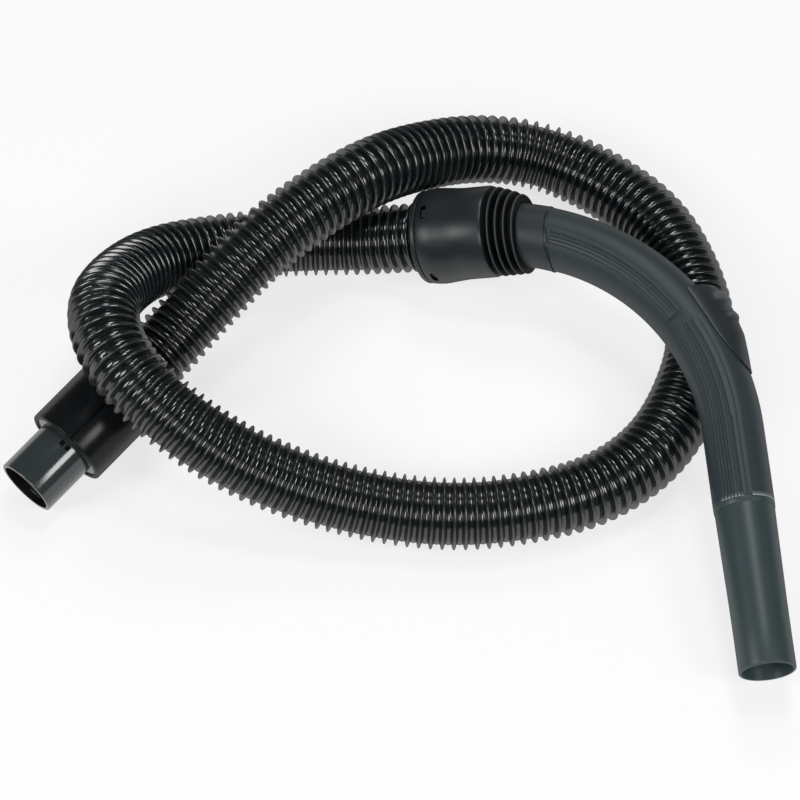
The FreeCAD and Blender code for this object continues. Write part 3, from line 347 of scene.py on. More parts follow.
def lying(spot, yaw, rise, roll):
    """Where a piece's own frame lies: millimetres, then degrees about Z, Y and X."""
    turn = (Matrix.Rotation(math.radians(yaw), 4, "Z") @ Matrix.Rotation(math.radians(-rise), 4, "Y")
            @ Matrix.Rotation(math.radians(roll), 4, "X"))
    return Matrix.Translation(Vector(spot) / 1000) @ turn


def turned(outline, steps=96, first=0.0):
    """A ring turned round X. Its closed outline is (station, radius) in millimetres."""
    bm = bmesh.new()
    corners = [bm.verts.new((station / 1000, 0.0, radius / 1000)) for station, radius in outline]
    sides = [bm.edges.new(pair) for pair in zip(corners, corners[1:] + corners[:1])]
    bmesh.ops.rotate(bm, verts=corners, cent=(0, 0, 0), matrix=Matrix.Rotation(math.radians(first), 3, "X"))
    bmesh.ops.spin(bm, geom=corners + sides, cent=(0, 0, 0), axis=(1, 0, 0), angle=2 * math.pi,
                   steps=steps, use_merge=True)
    bmesh.ops.remove_doubles(bm, verts=bm.verts, dist=0.000005)
    bmesh.ops.recalc_face_normals(bm, faces=bm.faces)
    return bm


# Ring corners are found to this many millimetres.
NEAR = 0.01


def radius_of(place):
    """Millimetres from a place to X."""
    return math.hypot(place.y, place.z) * 1000


def round_off(bm, corners, width, segments=3):
    """Round the ring corners at some (station, radius) places, in millimetres."""
    for station, radius in corners:
        rim = [e for e in bm.edges if all(
            abs(v.co.x * 1000 - station) < NEAR and abs(radius_of(v.co) - radius) < NEAR for v in e.verts)]
        bmesh.ops.bevel(bm, geom=rim, offset=width / 1000, offset_type="OFFSET", segments=segments,
                        profile=0.5, affect="EDGES", material=-1)


SWIVEL = lying((19.908, 131.427, 29.213), -10.3, 20.95, 13.5)
LIP_OUTLINE = [(0, 20.5), (0, 26.7), (3.3, 26.7), (3.3, 22.6), (7.2, 22.6), (7.2, 21.0), (10.6, 21.0),
               (10.6, 22.6), (39.0, 22.6), (39.0, 15.6), (37.0, 15.6), (37.0, 19.0), (5.0, 19.0),
               (5.0, 20.5)]
cuff_slate = moulded("cuff_matt_slate", (0.009, 0.0135, 0.0155), 0.35, 2600.0, 0.00008, shine=0.5)
ferrule_bm = turned(LIP_OUTLINE)
round_off(ferrule_bm, [(0, 26.7)], 1.5, 5)
round_off(ferrule_bm, [(3.3, 26.7), (0, 20.5)], 0.3)
ferrule_bm.transform(SWIVEL)
fitted(ferrule_bm, "cuff_ferrule", [cuff_slate], "hose_line", "ferrule_black", "ferrule_handle_end")

# Inner pieces. Rubber seals at both swivels and under the slider, two nylon half clips in the
# cuff, the glued halves of the air duct, and the machine end's ferrule. They are the part's own
# solids, in their places.


def dress(material, *names):
    """Give the part's own solids their finish."""
    for name in names:
        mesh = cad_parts[name].data
        mesh.materials.clear()
        mesh.materials.append(material)


seal_rubber = moulded("seal_matt_rubber", (0.02, 0.02, 0.021), 0.7, 1800.0, 0.00008)
clip_nylon = moulded("clip_grey_nylon", (0.014, 0.014, 0.015), 0.45)
duct_black = moulded("duct_plain_black", (0.03, 0.031, 0.034), 0.5, 1500.0, 0.00005)
dress(seal_rubber, "swivel_seal_handle", "swivel_seal_machine", "slider_seal")
dress(clip_nylon, "swivel_clip_upper", "swivel_clip_lower")
dress(duct_black, "duct_half_upper", "duct_half_lower", "ferrule_machine_end")

# Barrel of the cuff. Fine matt moulding, widest behind its four windows, that turns on the
# ferrule. The clips' tabs stand in the windows and hold it.
BARREL_OUTLINE = [(3.6, 22.9), (3.6, 27.0), (7.2, 27.42), (10.6, 27.66), (16.4, 27.2), (24.6, 26.3),
                  (42.1, 26.3), (43.7, 25.8), (43.7, 17.0), (42.1, 17.0), (42.1, 22.9)]
BARREL_STEPS = 80
BARREL_TURN = 84.5
WINDOW_FROM = 7.2
WINDOW_TO = 10.6
WINDOW_HALF = 9.0
WINDOW_DEEP = 2.6
WINDOW_CORNER = 0.00150
barrel_bm = turned(BARREL_OUTLINE, BARREL_STEPS)


def off_quarter(place):
    """Degrees between a place's turn round X and the nearest quarter turn from +Y."""
    turn = math.degrees(math.atan2(place.z, place.y)) % 90.0
    return min(turn, 90.0 - turn)


window = [f for f in barrel_bm.faces if WINDOW_FROM < f.calc_center_median().x * 1000 < WINDOW_TO
          and radius_of(f.calc_center_median()) > 26.0
          and off_quarter(f.calc_center_median()) < WINDOW_HALF]
sunk = bmesh.ops.extrude_face_region(barrel_bm, geom=window)["geom"]
bmesh.ops.delete(barrel_bm, geom=[f for f in window if f.is_valid], context="FACES_ONLY")
for vert in [v for v in sunk if isinstance(v, bmesh.types.BMVert)]:
    radius = radius_of(vert.co)
    vert.co.yz = vert.co.yz * ((radius - WINDOW_DEEP) / radius)


def goes_down(edge):
    """Whether an edge is one of the upright corners of a window."""
    one, two = (v.co for v in edge.verts)
    return (abs(abs(radius_of(one) - radius_of(two)) - WINDOW_DEEP) < 0.2
            and abs(one.x - two.x) < 0.0001 and one.x < 0.012
            and abs(off_quarter(one) - WINDOW_HALF) < 0.5)


bmesh.ops.bevel(barrel_bm, geom=[e for e in barrel_bm.edges if goes_down(e)], offset=WINDOW_CORNER,
                offset_type="OFFSET", segments=4, profile=0.5, affect="EDGES", material=-1)
# Painted shade: the windows' walls and floors take the near-black second material.
for face in barrel_bm.faces:
    middle = face.calc_center_median()
    if WINDOW_FROM - 0.1 < middle.x * 1000 < WINDOW_TO + 0.1 and 24.0 < radius_of(middle) < 27.2:
        face.material_index = 1
round_off(barrel_bm, [(3.6, 27.0)], 1.0, 4)
round_off(barrel_bm, [(16.4, 27.2), (24.6, 26.3)], 3.2, 5)
round_off(barrel_bm, [(43.7, 25.8)], 0.3)
barrel_bm.transform(SWIVEL @ Matrix.Rotation(math.radians(BARREL_TURN), 4, "X"))
# A near-black finish that paints shade into recesses: the cuff's windows, the slider's rim, and the
# spigot's marks and bore.
painted_shade_black = moulded("painted_shade_black", (0.002, 0.002, 0.002), 0.6, shine=0.1)
fitted(barrel_bm, "cuff_barrel", [cuff_slate, painted_shade_black], "handle", "cuff_slate", "swivel_barrel")

# Bend relief. A black rubber bellows that tapers from the barrel to the neck, with four thin
# fins. It is moulded on the neck and follows its bend. The fins' edges are painted pale as a highlight.
BEND = lying((9.5, 129.4, 30.6), -7.0, 15.0, 13.5)
BEND_START = 43.7
BEND_RADIUS = 151.0
BEND_ANGLE = 81.0
FIN_STATIONS = [47.3, 51.75, 56.2, 60.65]
FIN_RADII = [25.6, 24.9, 24.0, 22.9]
# Across each fin: millimetres ahead of its station, millimetres over its radius, and how much painted
# highlight it takes.
FIN_SHAPE = [(-0.62, -0.8, 0.0), (-0.38, -0.15, 0.7), (0.0, 0.0, 1.0), (0.38, -0.2, 0.7), (0.65, -0.9, 0.0)]
FIN_FOOT = 1.0
FIN_FLOOR = 19.3
BELLOWS_BORE = 17.4
BELLOWS_SHOULDER = 22.0
BELLOWS_REAR = 43.5
BELLOWS_FRONT = 61.85
BELLOWS_ASIDE = 0.00125
BELLOWS_ROUND = 96


def bend_line(angle):
    """The middle of the bend, in its own frame, at an angle in degrees from its start."""
    turn = math.radians(angle)
    ahead = BEND_START + BEND_RADIUS * math.sin(turn)
    return Vector((ahead, BEND_RADIUS * (math.cos(turn) - 1), 0.0)) / 1000


def bellows_middle(station):
    """The bellows' middle at a station of the swivel's axis, in the swivel's own frame.

    It keeps a little outside the bend's line, and half as much at the last fin as at the first.
    """
    share = (station - FIN_STATIONS[0]) / (FIN_STATIONS[-1] - FIN_STATIONS[0])
    inward = SWIVEL.inverted() @ BEND
    aside = Vector((0, BELLOWS_ASIDE * (1 - share / 2), 0))
    path = [inward @ (bend_line(k / 4) + aside) for k in range(100)]
    return min(path, key=lambda p: abs(p.x - station / 1000))


bellows_rings = [(BELLOWS_REAR, BELLOWS_BORE, 0.0), (BELLOWS_REAR, BELLOWS_SHOULDER, 0.0)]
for station, radius in zip(FIN_STATIONS, FIN_RADII):
    bellows_rings.append((station - FIN_FOOT, FIN_FLOOR, 0.0))
    bellows_rings += [(station + ahead, radius + over, painted_glint) for ahead, over, painted_glint in FIN_SHAPE]
    bellows_rings.append((station + FIN_FOOT, FIN_FLOOR, 0.0))
bellows_rings[-1] = (BELLOWS_FRONT, BELLOWS_BORE, 0.0)
bellows_bm = bmesh.new()
crest_layer = bellows_bm.verts.layers.float.new("crest")
loops = []
square_to_x = Matrix.Rotation(math.radians(90), 4, "Y")
for station, radius, painted_glint in bellows_rings:
    middle = bellows_middle(station)
    lay = Matrix.Translation((station / 1000, middle.y, middle.z)) @ square_to_x
    circle = bmesh.ops.create_circle(
        bellows_bm, cap_ends=False, segments=BELLOWS_ROUND, radius=radius / 1000, matrix=lay)["verts"]
    for vert in circle:
        vert[crest_layer] = painted_glint
    loops.append(list({e for v in circle for e in v.link_edges}))
for one, two in zip(loops, loops[1:] + loops[:1]):
    bmesh.ops.bridge_loops(bellows_bm, edges=one + two)
bellows_bm.transform(SWIVEL)
# Painted highlight: the crest layer turns the fins' edges pale.
bellows_black = moulded("bellows_black_rubber", (0.003, 0.0035, 0.004), 0.55, 1500.0, 0.00006, shine=0.15,
                        layer="crest", layer_colour=(0.060, 0.070, 0.075))
fitted(bellows_bm, "bend_relief", [bellows_black], "handle", "cuff_slate", "fin_collar", corner=60.0)

# Neck. The thick matt moulding that holds the barrel. It goes through the bellows and ends
# square to the bend's first direction, where the seam ring covers the joint with the grip.
NECK_OUTER = 18.0
NECK_INNER = 13.8
NECK_FROM = 2.24
NECK_TO = 22.24
EVEN_ROUND = [k * 360.0 / 96 for k in range(96)]
BEND_CENTRE = Vector((BEND_START, -BEND_RADIUS, 0.0)) / 1000
SEAM_FROM = 85.07
SEAM_TO = 86.87


def bent(outer, inner, first, last, turns):
    """A tube wall along the bend between two angles, in steps of one degree.

    It is in the bend's own frame. Returns the shape and the faces of its far end.
    """
    bm = bmesh.new()
    for radius in (outer, inner):
        ring = bmesh.ops.create_circle(bm, cap_ends=False, segments=len(turns), radius=1.0)["verts"]
        for vert in ring:
            place = math.degrees(math.atan2(vert.co.y, vert.co.x)) % 360.0
            turn = math.radians(turns[round(place * len(turns) / 360.0) % len(turns)])
            vert.co = Vector((BEND_START, radius * math.cos(turn), radius * math.sin(turn))) / 1000
    bmesh.ops.bridge_loops(bm, edges=bm.edges[:])
    bmesh.ops.rotate(bm, verts=bm.verts, cent=BEND_CENTRE,
                     matrix=Matrix.Rotation(math.radians(-first), 3, "Z"))
    end = bmesh.ops.spin(bm, geom=bm.verts[:] + bm.edges[:] + bm.faces[:], cent=BEND_CENTRE,
                         axis=(0, 0, -1), angle=math.radians(last - first),
                         steps=round(last - first))["geom_last"]
    return bm, [f for f in end if isinstance(f, bmesh.types.BMFace)]


def cut_square(bm, station, keep_low):
    """Cut a tube wall square to the bend's first direction, and close the cut.

    One side of the station, in millimetres, goes away.
    """
    bmesh.ops.bisect_plane(bm, geom=bm.verts[:] + bm.edges[:] + bm.faces[:], dist=0.000001,
                           plane_co=(station / 1000, 0, 0), plane_no=(1, 0, 0),
                           clear_outer=keep_low, clear_inner=not keep_low)
    bmesh.ops.bridge_loops(bm, edges=[e for e in bm.edges if e.is_boundary])


neck_bm = bent(NECK_OUTER, NECK_INNER, NECK_FROM, NECK_TO, EVEN_ROUND)[0]
cut_square(neck_bm, SEAM_FROM, True)
neck_bm.transform(BEND)
neck_slate = moulded("neck_matt_slate", (0.022, 0.029, 0.032), 0.46, 2600.0, 0.00010, shine=0.4)
fitted(neck_bm, "neck", [neck_slate], "handle", "tube_slate", "elbow_tube")

# Seam ring. A narrow collar of the cuff's matt plastic, pushed over the joint between neck and
# grip. It stands a little higher than both.
RING_OUTER = 18.2
RING_INNER = 16.4
RING_FROM = 10.9
RING_TO = 21.9
RING_CLEAR = 0.12
ring_bm = bent(RING_OUTER, RING_INNER, RING_FROM, RING_TO, EVEN_ROUND)[0]
cut_square(ring_bm, SEAM_FROM + RING_CLEAR, False)
cut_square(ring_bm, SEAM_TO, True)
ring_edges = [e for e in ring_bm.edges if e.calc_face_angle(0.0) > math.radians(60)]
bmesh.ops.bevel(ring_bm, geom=ring_edges, offset=0.00025, offset_type="OFFSET", segments=2, profile=0.5,
                affect="EDGES", material=-1)
ring_bm.transform(BEND)
fitted(ring_bm, "seam_ring", [cuff_slate], "handle", "grip_slate", "grip_front_ring")

# Grip. Two moulded shells, glued over the duct along the middle of the bend. Fine grooves run
# along both flanks, broken beside the slider, and the slider's slot is on the outside. The edge
# at its end is painted pale as a highlight.
GRIP_OUTER = 17.7
GRIP_INNER = 16.4
GRIP_TAIL = 44.8
GRIP_FIRST = 13.4
GRIP_SPUN = 67.0
# The grip's radius at places along the handle's middle, both in millimetres.
GRIP_TAPER = [(38.0, 17.65), (60.0, 17.35), (150.0, 17.10), (213.5, 16.9), (258.3, 16.85)]
SLOT_FROM = 43.4
SLOT_TO = 68.4
SLOT_TURN = 9.76
BEND_RUN = BEND_RADIUS * math.radians(BEND_ANGLE)
# Each groove: turn round the grip, half width in degrees, depth in millimetres, and its runs.
REAR_RUN = (45.5, 141.0)
FRONT_RUN = (147.5, 400.0)
GRIP_GROOVES = [
    (50.5, 1.3, 0.16, [(41.0, 64.0)]),
    (61.8, 3.4, -0.09, [(152.0, 400.0)]),
    (69.5, 3.2, 0.28, [(150.0, 400.0)]),
    (84.0, 1.5, 0.34, [FRONT_RUN]),
    (90.8, 1.5, 0.24, [REAR_RUN, FRONT_RUN]),
    (97.4, 1.5, 0.38, [REAR_RUN, FRONT_RUN]),
    (104.0, 1.5, 0.38, [REAR_RUN, FRONT_RUN]),
    (110.7, 1.5, 0.38, [REAR_RUN, FRONT_RUN]),
    (117.8, 1.5, 0.36, [REAR_RUN, FRONT_RUN]),
    (130.5, 3.4, 0.22, [(150.0, 400.0)]),
]
# Across a groove: places as shares of its half width, and depths as shares of its depth.
GROOVE_SHAPE = [(-1.0, 0.0), (-0.55, 0.45), (0.0, 1.0), (0.55, 0.45), (1.0, 0.0)]
# Short grooves close the rear ones at both ends: their place along the grip, and their turns.
CLOSING_GROOVES = [(46.0, 90.0, 119.3), (140.6, 96.0, 119.3)]
CLOSING_HALF = 0.6
CLOSING_DEEP = 0.34
EVEN_STEP = 4.0
EVEN_FROM = -178.0
EVEN_CLEAR = 1.4
grip_turns = [SLOT_TURN, -SLOT_TURN]
for turn, half, _, _ in GRIP_GROOVES:
    for share, _ in GROOVE_SHAPE:
        grip_turns += [turn + share * half, -turn - share * half]
for k in range(round(360.0 / EVEN_STEP)):
    even = EVEN_FROM + k * EVEN_STEP
    if all(abs(even - turn) > EVEN_CLEAR for turn in grip_turns):
        grip_turns.append(even)
grip_turns = sorted(turn % 360.0 for turn in grip_turns)
grip_bm, far_end = bent(GRIP_OUTER, GRIP_INNER, GRIP_FIRST, GRIP_FIRST + GRIP_SPUN, grip_turns)
last_bit = BEND_ANGLE - GRIP_FIRST - GRIP_SPUN
grown = bmesh.ops.spin(grip_bm, geom=far_end, cent=BEND_CENTRE, axis=(0, 0, -1),
                       angle=math.radians(last_bit), steps=1)["geom_last"]
TAIL_STEPS = 16
straight = Vector((math.cos(math.radians(BEND_ANGLE)), -math.sin(math.radians(BEND_ANGLE)), 0.0))
for k in range(TAIL_STEPS):
    far_end = [f for f in grown if isinstance(f, bmesh.types.BMFace)]
    grown = bmesh.ops.extrude_face_region(grip_bm, geom=far_end)["geom"]
    bmesh.ops.translate(grip_bm, verts=[v for v in grown if isinstance(v, bmesh.types.BMVert)],
                        vec=straight * (GRIP_TAIL / TAIL_STEPS / 1000))
cut_square(grip_bm, SEAM_TO, False)
for place, low, high in CLOSING_GROOVES:
    for aside in (-CLOSING_HALF, 0.0, CLOSING_HALF):
        turn = (place + aside) / BEND_RADIUS
        everything = grip_bm.verts[:] + grip_bm.edges[:] + grip_bm.faces[:]
        bmesh.ops.bisect_plane(grip_bm, geom=everything, dist=0.000001, plane_co=BEND_CENTRE,
                               plane_no=(math.cos(turn), -math.sin(turn), 0.0))


def read_off(table, place):
    """The value of a table at a place, on straight lines between its rows."""
    for (a, low), (b, high) in zip(table, table[1:]):
        if place <= b:
            return low + (high - low) * max(place - a, 0.0) / (b - a)
    return table[-1][1]


def on_handle(place):
    """Millimetres along the handle's middle, turn round it in degrees, and its nearest middle."""
    arm = place - BEND_CENTRE
    angle = math.degrees(math.atan2(arm.x, arm.y))
    if angle < BEND_ANGLE:
        middle = bend_line(angle)
        run = BEND_RADIUS * math.radians(angle)
        outward = Vector((math.sin(math.radians(angle)), math.cos(math.radians(angle)), 0.0))
    else:
        past = (place - bend_line(BEND_ANGLE)).dot(straight)
        middle = bend_line(BEND_ANGLE) + straight * past
        run = BEND_RUN + past * 1000
        outward = Vector((math.sin(math.radians(BEND_ANGLE)), math.cos(math.radians(BEND_ANGLE)), 0.0))
    off = place - middle
    return run, math.degrees(math.atan2(off.z, off.dot(outward))), middle


def in_slot(face):
    """Whether a face lies where the slider's slot is."""
    run, turn = on_handle(face.calc_center_median())[:2]
    return abs(turn) < SLOT_TURN and SLOT_FROM < math.degrees(run / BEND_RADIUS) < SLOT_TO


bmesh.ops.delete(grip_bm, geom=[f for f in grip_bm.faces if in_slot(f)], context="FACES")
bmesh.ops.bridge_loops(grip_bm, edges=[e for e in grip_bm.edges if e.is_boundary])
end_edges = [e for e in grip_bm.edges if all(
    abs(on_handle(v.co)[0] - BEND_RUN - GRIP_TAIL) < 0.01
    and (v.co - on_handle(v.co)[2]).length * 1000 > GRIP_OUTER - 0.1 for v in e.verts)]
bmesh.ops.bevel(grip_bm, geom=end_edges, offset=0.0007, offset_type="OFFSET", segments=3, profile=0.5,
                affect="EDGES", material=-1)
glint_layer = grip_bm.verts.layers.float.new("painted_glint")


def eased(value, low, high):
    """0 below low, 1 above high, smooth between."""
    share = min(max((value - low) / (high - low), 0.0), 1.0)
    return share * share * (3 - 2 * share)


def groove_depth(run, turn):
    """Millimetres that the grooves sink the grip's skin at a place."""
    depth = 0.0
    for centre, half, deep, runs in GRIP_GROOVES:
        off = (abs(turn) - centre) / half
        if abs(off) >= 1.0:
            continue
        for (a, down_a), (b, down_b) in zip(GROOVE_SHAPE, GROOVE_SHAPE[1:]):
            if a <= off <= b:
                down = down_a + (down_b - down_a) * (off - a) / (b - a)
        for start, stop in runs:
            depth += deep * down * eased(run, start, start + 1.0) * (1 - eased(run, stop - 1.0, stop))
    for place, low, high in CLOSING_GROOVES:
        if low < abs(turn) < high:
            depth = max(depth, CLOSING_DEEP * (1 - min(abs(run - place) / CLOSING_HALF, 1.0)))
    return depth


for vert in grip_bm.verts:
    run, turn, middle = on_handle(vert.co)
    off = vert.co - middle
    radius = off.length * 1000
    if radius > GRIP_OUTER - 0.9:
        sunk = groove_depth(run, turn)
        inward = GRIP_OUTER - read_off(GRIP_TAPER, run) + sunk
        vert.co = middle + off * (1 - inward / radius)
        # Painted highlight: the rounding of the end edge is painted pale, except in the grooves and on the
        # wide flats.
        if abs(turn) < 125.0 and sunk < 0.1 and not 62.0 < abs(turn) < 82.0:
            edge = BEND_RUN + GRIP_TAIL
            vert[glint_layer] = (eased(run, edge - 0.8, edge - 0.5)
                                * eased(radius, GRIP_OUTER - 0.7, GRIP_OUTER - 0.4))
grip_bm.transform(BEND)
grip_slate = moulded("grip_matt_slate", (0.027, 0.039, 0.044), 0.46, 2600.0, 0.00010, shine=0.4,
                     layer="painted_glint", layer_colour=(0.42, 0.44, 0.45))
fitted(grip_bm, "grip", [grip_slate], "handle", "grip_slate", "grip_outer_shell", "grip_inner_shell")

# End ring of the grip. A small trim of the wand's satin plastic that closes the grip and steps
# down to the wand.
WAND = (BEND @ Matrix.Translation(bend_line(BEND_ANGLE))
        @ Matrix.Rotation(math.radians(-BEND_ANGLE), 4, "Z"))
TRIM_OUTLINE = [(44.8, 16.4), (44.8, 16.85), (47.8, 16.65), (47.8, 16.4)]
trim_bm = turned(TRIM_OUTLINE)
round_off(trim_bm, [(47.8, 16.65)], 0.15, 2)
trim_bm.transform(WAND)
wand_grey = moulded("wand_satin_grey", (0.030, 0.049, 0.053), 0.40, 1800.0, 0.00004)
fitted(trim_bm, "grip_end_trim", [wand_grey], "handle", "grip_slate", "grip_end_ring")

# Wand. A satin grey tube that plugs into the duct inside the grip, tapers, and ends in a
# straight land that floor tools are pushed over.
WAND_OUTLINE = [(6.0, 13.8), (6.0, 15.0), (24.0, 15.0), (24.0, 16.4), (47.8, 16.4), (107.5, 15.5),
                (139.1, 15.5), (139.1, 13.8)]
wand_bm = turned(WAND_OUTLINE, steps=112)
round_off(wand_bm, [(107.5, 15.5)], 8.0, 4)
round_off(wand_bm, [(139.1, 15.5)], 0.8, 3)
round_off(wand_bm, [(139.1, 13.8)], 0.3, 2)
wand_bm.transform(WAND)
fitted(wand_bm, "wand", [wand_grey], "handle", "wand_grey", "wand_tube")

# Slider of the suction regulator. A thumb piece that rides the outside of the bend over the
# bleed hole: square behind, two ridges whose tops are painted pale as a highlight, and a long tongue in
# front.
SLIDER_REAR = 135.5
SLIDER_LEAN = 4.5
SLIDER_FRONT = 184.5
# At places along the handle's middle: half the width in degrees round the grip, the hull's
# height in millimetres, and the ridges' height over it.
SLIDER_HALF = [(130.0, 51.0), (132.0, 52.5), (138.0, 55.0), (145.5, 57.0), (155.0, 57.0), (163.5, 55.0),
               (172.5, 46.5), (178.5, 36.5), (182.5, 24.0), (184.5, 10.0)]
SLIDER_HULL = [(130.0, 6.2), (135.5, 7.0), (145.0, 6.7), (155.0, 6.0), (165.0, 4.9), (171.0, 3.2),
               (176.5, 1.9), (181.5, 0.7), (184.5, 0.2)]
THUMB_RIDGES = [(135.5, 0.0), (139.0, 1.0), (142.0, 2.5), (143.8, 2.4), (145.2, 0.9), (146.5, 0.0),
                (149.5, -0.2), (152.0, 1.0), (154.4, 1.8), (155.8, 1.3), (157.2, 0.2), (159.5, 0.0),
                (184.5, 0.0)]
SLIDER_RIM = 0.35
SLIDER_UNDER = 17.38
slider_bm = bmesh.new()
ridge_glint_layer = slider_bm.verts.layers.float.new("ridge_glint")
for upper in (True, False):
    skin = bmesh.ops.create_grid(slider_bm, x_segments=84, y_segments=44, size=0.5)["verts"]
    for vert in skin:
        across = vert.co.y * 2
        rear = SLIDER_REAR - SLIDER_LEAN * (abs(across) ** 1.5 if upper else 1.0)
        run = rear + (SLIDER_FRONT - rear) * (vert.co.x + 0.5)
        half = math.radians(read_off(SLIDER_HALF, run))
        if upper:
            foot = SLIDER_UNDER + SLIDER_RIM
            ridge = read_off(THUMB_RIDGES, run) * (1 - eased(abs(across), 0.50, 0.68))
            crown = foot + read_off(SLIDER_HULL, run) + ridge - foot * math.cos(half)
            out = foot * math.cos(half) + crown * (1 - abs(across) ** 1.6) ** (1 / 1.25)
            aside = foot * math.sin(half) * across
            # Painted highlight: the ridges' tops go paler as they rise.
            vert[ridge_glint_layer] = eased(ridge, 0.9, 1.9)
        else:
            out, aside = SLIDER_UNDER * math.cos(half * across), SLIDER_UNDER * math.sin(half * across)
        angle = run / BEND_RADIUS
        outward = Vector((math.sin(angle), math.cos(angle), 0.0))
        vert.co = bend_line(math.degrees(angle)) + (outward * out + Vector((0, 0, 1)) * aside) / 1000
rim_faces = bmesh.ops.bridge_loops(
    slider_bm, edges=[e for e in slider_bm.edges if e.is_boundary])["faces"]
# Painted shade: the rim's sides away from the rear take the near-black second material, as a dark gap along
# the slider's border.
for face in rim_faces:
    run, turn = on_handle(face.calc_center_median())[:2]
    if run > SLIDER_REAR + 1.5 and abs(turn) > 8.0:
        face.material_index = 1
bmesh.ops.recalc_face_normals(slider_bm, faces=slider_bm.faces)
slider_rim = [e for e in slider_bm.edges if e.calc_face_angle(0.0) > math.radians(50)]
bmesh.ops.bevel(slider_bm, geom=slider_rim, offset=0.00016, offset_type="OFFSET", segments=2, profile=0.5,
                affect="EDGES", material=-1)
slider_bm.transform(BEND)
slider_slate = moulded("slider_satin_slate", (0.018, 0.025, 0.030), 0.40, 2600.0, 0.00006, shine=0.4,
                       layer="ridge_glint", layer_colour=(0.075, 0.090, 0.098))
fitted(slider_bm, "slider", [slider_slate, painted_shade_black], "regulator", "slider_slate", "suction_slider")

# Spigot of the machine connector. Glossy black moulding with two small latch marks close to the
# sleeve, whose insides are painted black as shade, and a bore painted matt black as shade. A round flange
# inside holds it in the sleeve.
PLUG = lying((-202.4, -34.9, 19.35), 48.0, 8.5, 23.0)
SPIGOT_OUTLINE = [(1.7, 15.4), (1.7, 17.5), (28.7, 17.5), (31.9, 17.5), (34.1, 17.5), (34.1, 22.2),
                  (37.1, 22.2), (37.1, 17.5), (44.0, 17.5), (44.0, 15.4)]
MARK_FROM = 28.7
MARK_TO = 31.9
MARK_TURNS = (83.25, 96.75)
MARK_DEEP = 1.1
spigot_bm = turned(SPIGOT_OUTLINE, steps=80, first=2.25)


def turn_of(place):
    """Degrees round X from +Y."""
    return math.degrees(math.atan2(place.z, place.y))


marks = [f for f in spigot_bm.faces if MARK_FROM < f.calc_center_median().x * 1000 < MARK_TO
         and min(abs(turn_of(f.calc_center_median()) - turn) for turn in MARK_TURNS) < 2.5
         and radius_of(f.calc_center_median()) > 17.0]
sunk = bmesh.ops.extrude_face_region(spigot_bm, geom=marks)["geom"]
bmesh.ops.delete(spigot_bm, geom=[f for f in marks if f.is_valid], context="FACES_ONLY")
for vert in [v for v in sunk if isinstance(v, bmesh.types.BMVert)]:
    radius = radius_of(vert.co)
    vert.co.yz = vert.co.yz * ((radius - MARK_DEEP) / radius)
# Painted shade: the marks' sunk walls and floors take the near-black second material.
for face in [f for f in sunk if isinstance(f, bmesh.types.BMFace)]:
    face.material_index = 1
# Painted shade: the bore takes the near-black second material.
for face in spigot_bm.faces:
    if radius_of(face.calc_center_median()) < 15.45:
        face.material_index = 1
round_off(spigot_bm, [(1.7, 17.5)], 0.6, 4)
round_off(spigot_bm, [(1.7, 15.4)], 0.3, 2)
round_off(spigot_bm, [(34.1, 22.2)], 0.3, 2)
spigot_bm.transform(PLUG)
plug_black = moulded("plug_gloss_black", (0.024, 0.032, 0.033), 0.15, drift=0.2, coat=0.6)
spigot = fitted(spigot_bm, "spigot", [plug_black, painted_shade_black], "connector", "connector_black",
                "machine_spigot")

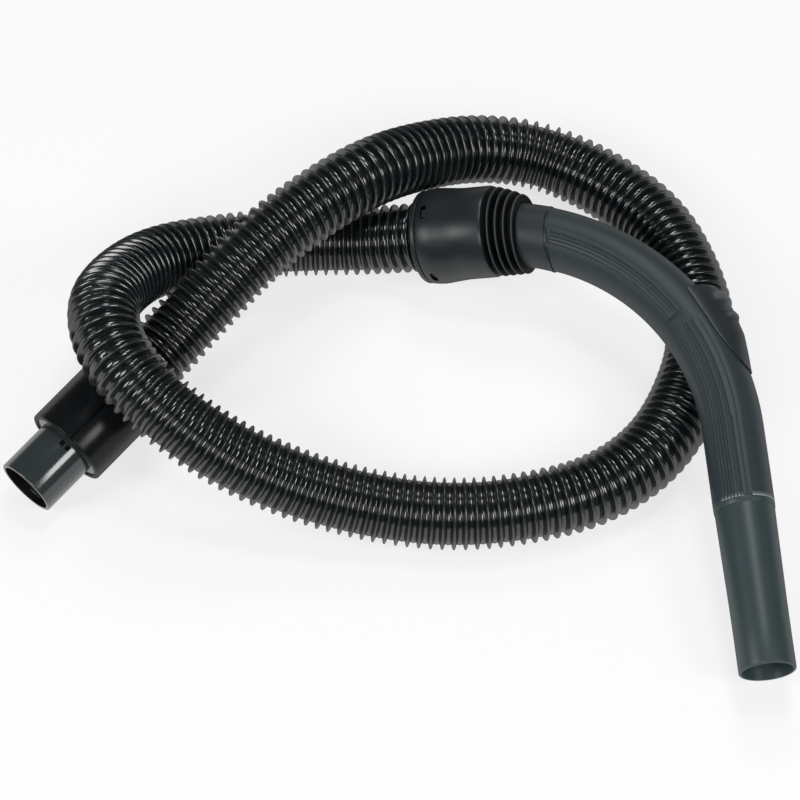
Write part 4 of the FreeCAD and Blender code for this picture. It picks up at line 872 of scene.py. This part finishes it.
# Key pads. Two low pads of the spigot's glossy plastic, moulded in its bore a little behind its
# mouth. Each is an outline turned part of the way round.
KEY_PADS = [(-126.0, 30.0), (-172.0, 24.0)]
KEY_OUTLINE = [(5.4, 15.5), (5.4, 13.9), (14.0, 13.9), (14.0, 15.5)]
key_bm = bmesh.new()
for first, wide in KEY_PADS:
    start = Matrix.Rotation(math.radians(first), 3, "X")
    corners = [key_bm.verts.new(start @ Vector((station, radius, 0.0)) / 1000)
               for station, radius in KEY_OUTLINE]
    face = key_bm.faces.new(corners)
    bmesh.ops.spin(key_bm, geom=[face] + list(face.edges) + corners, cent=(0, 0, 0), axis=(1, 0, 0),
                   angle=math.radians(wide), steps=8)
bmesh.ops.recalc_face_normals(key_bm, faces=key_bm.faces)
pad_edges = [e for e in key_bm.edges if e.calc_face_angle(0.0) > math.radians(60)]
bmesh.ops.bevel(key_bm, geom=pad_edges, offset=0.00025, offset_type="OFFSET", segments=2, profile=0.5,
                affect="EDGES", material=-1)
key_bm.transform(PLUG)
key_pads = fitted(key_bm, "mouth_key", [plug_black], "connector", "connector_black")

# Sleeve of the machine connector. Two glossy half shells, snapped together round the swivel. A
# fine seam runs along each side.
SLEEVE_OUTLINE = [(33.5, 21.6), (33.5, 24.5), (83.5, 24.5), (83.5, 20.5), (81.0, 20.5), (81.0, 22.6),
                  (39.1, 22.6), (39.1, 19.5), (37.1, 19.5), (37.1, 22.2), (34.1, 22.2), (34.1, 21.6)]
SEAM_HALF = 0.00055
SEAM_DEEP = 0.00070
sleeve_bm = turned(SLEEVE_OUTLINE)
round_off(sleeve_bm, [(33.5, 24.5)], 0.9, 4)
round_off(sleeve_bm, [(83.5, 24.5)], 1.6, 4)
seam_edges = [e for e in sleeve_bm.edges if abs(e.verts[0].co.x - e.verts[1].co.x) > 0.02
              and all(radius_of(v.co) > 24.0 and abs(abs(turn_of(v.co)) - 90.0) < 0.1 for v in e.verts)]
bmesh.ops.bevel(sleeve_bm, geom=seam_edges, offset=SEAM_HALF, offset_type="OFFSET", segments=2, profile=0.5,
                affect="EDGES", material=-1)
for vert in sleeve_bm.verts:
    if abs(abs(turn_of(vert.co)) - 90.0) < 0.05 and radius_of(vert.co) > 24.3:
        vert.co.z -= math.copysign(SEAM_DEEP, vert.co.z)
sleeve_bm.transform(PLUG)
sleeve_black = moulded("sleeve_gloss_black", (0.005, 0.006, 0.007), 0.22, drift=0.2, shine=0.22)
sleeve = fitted(sleeve_bm, "connector_sleeve", [sleeve_black], "connector", "connector_black",
                "sleeve_half_left", "sleeve_half_right")
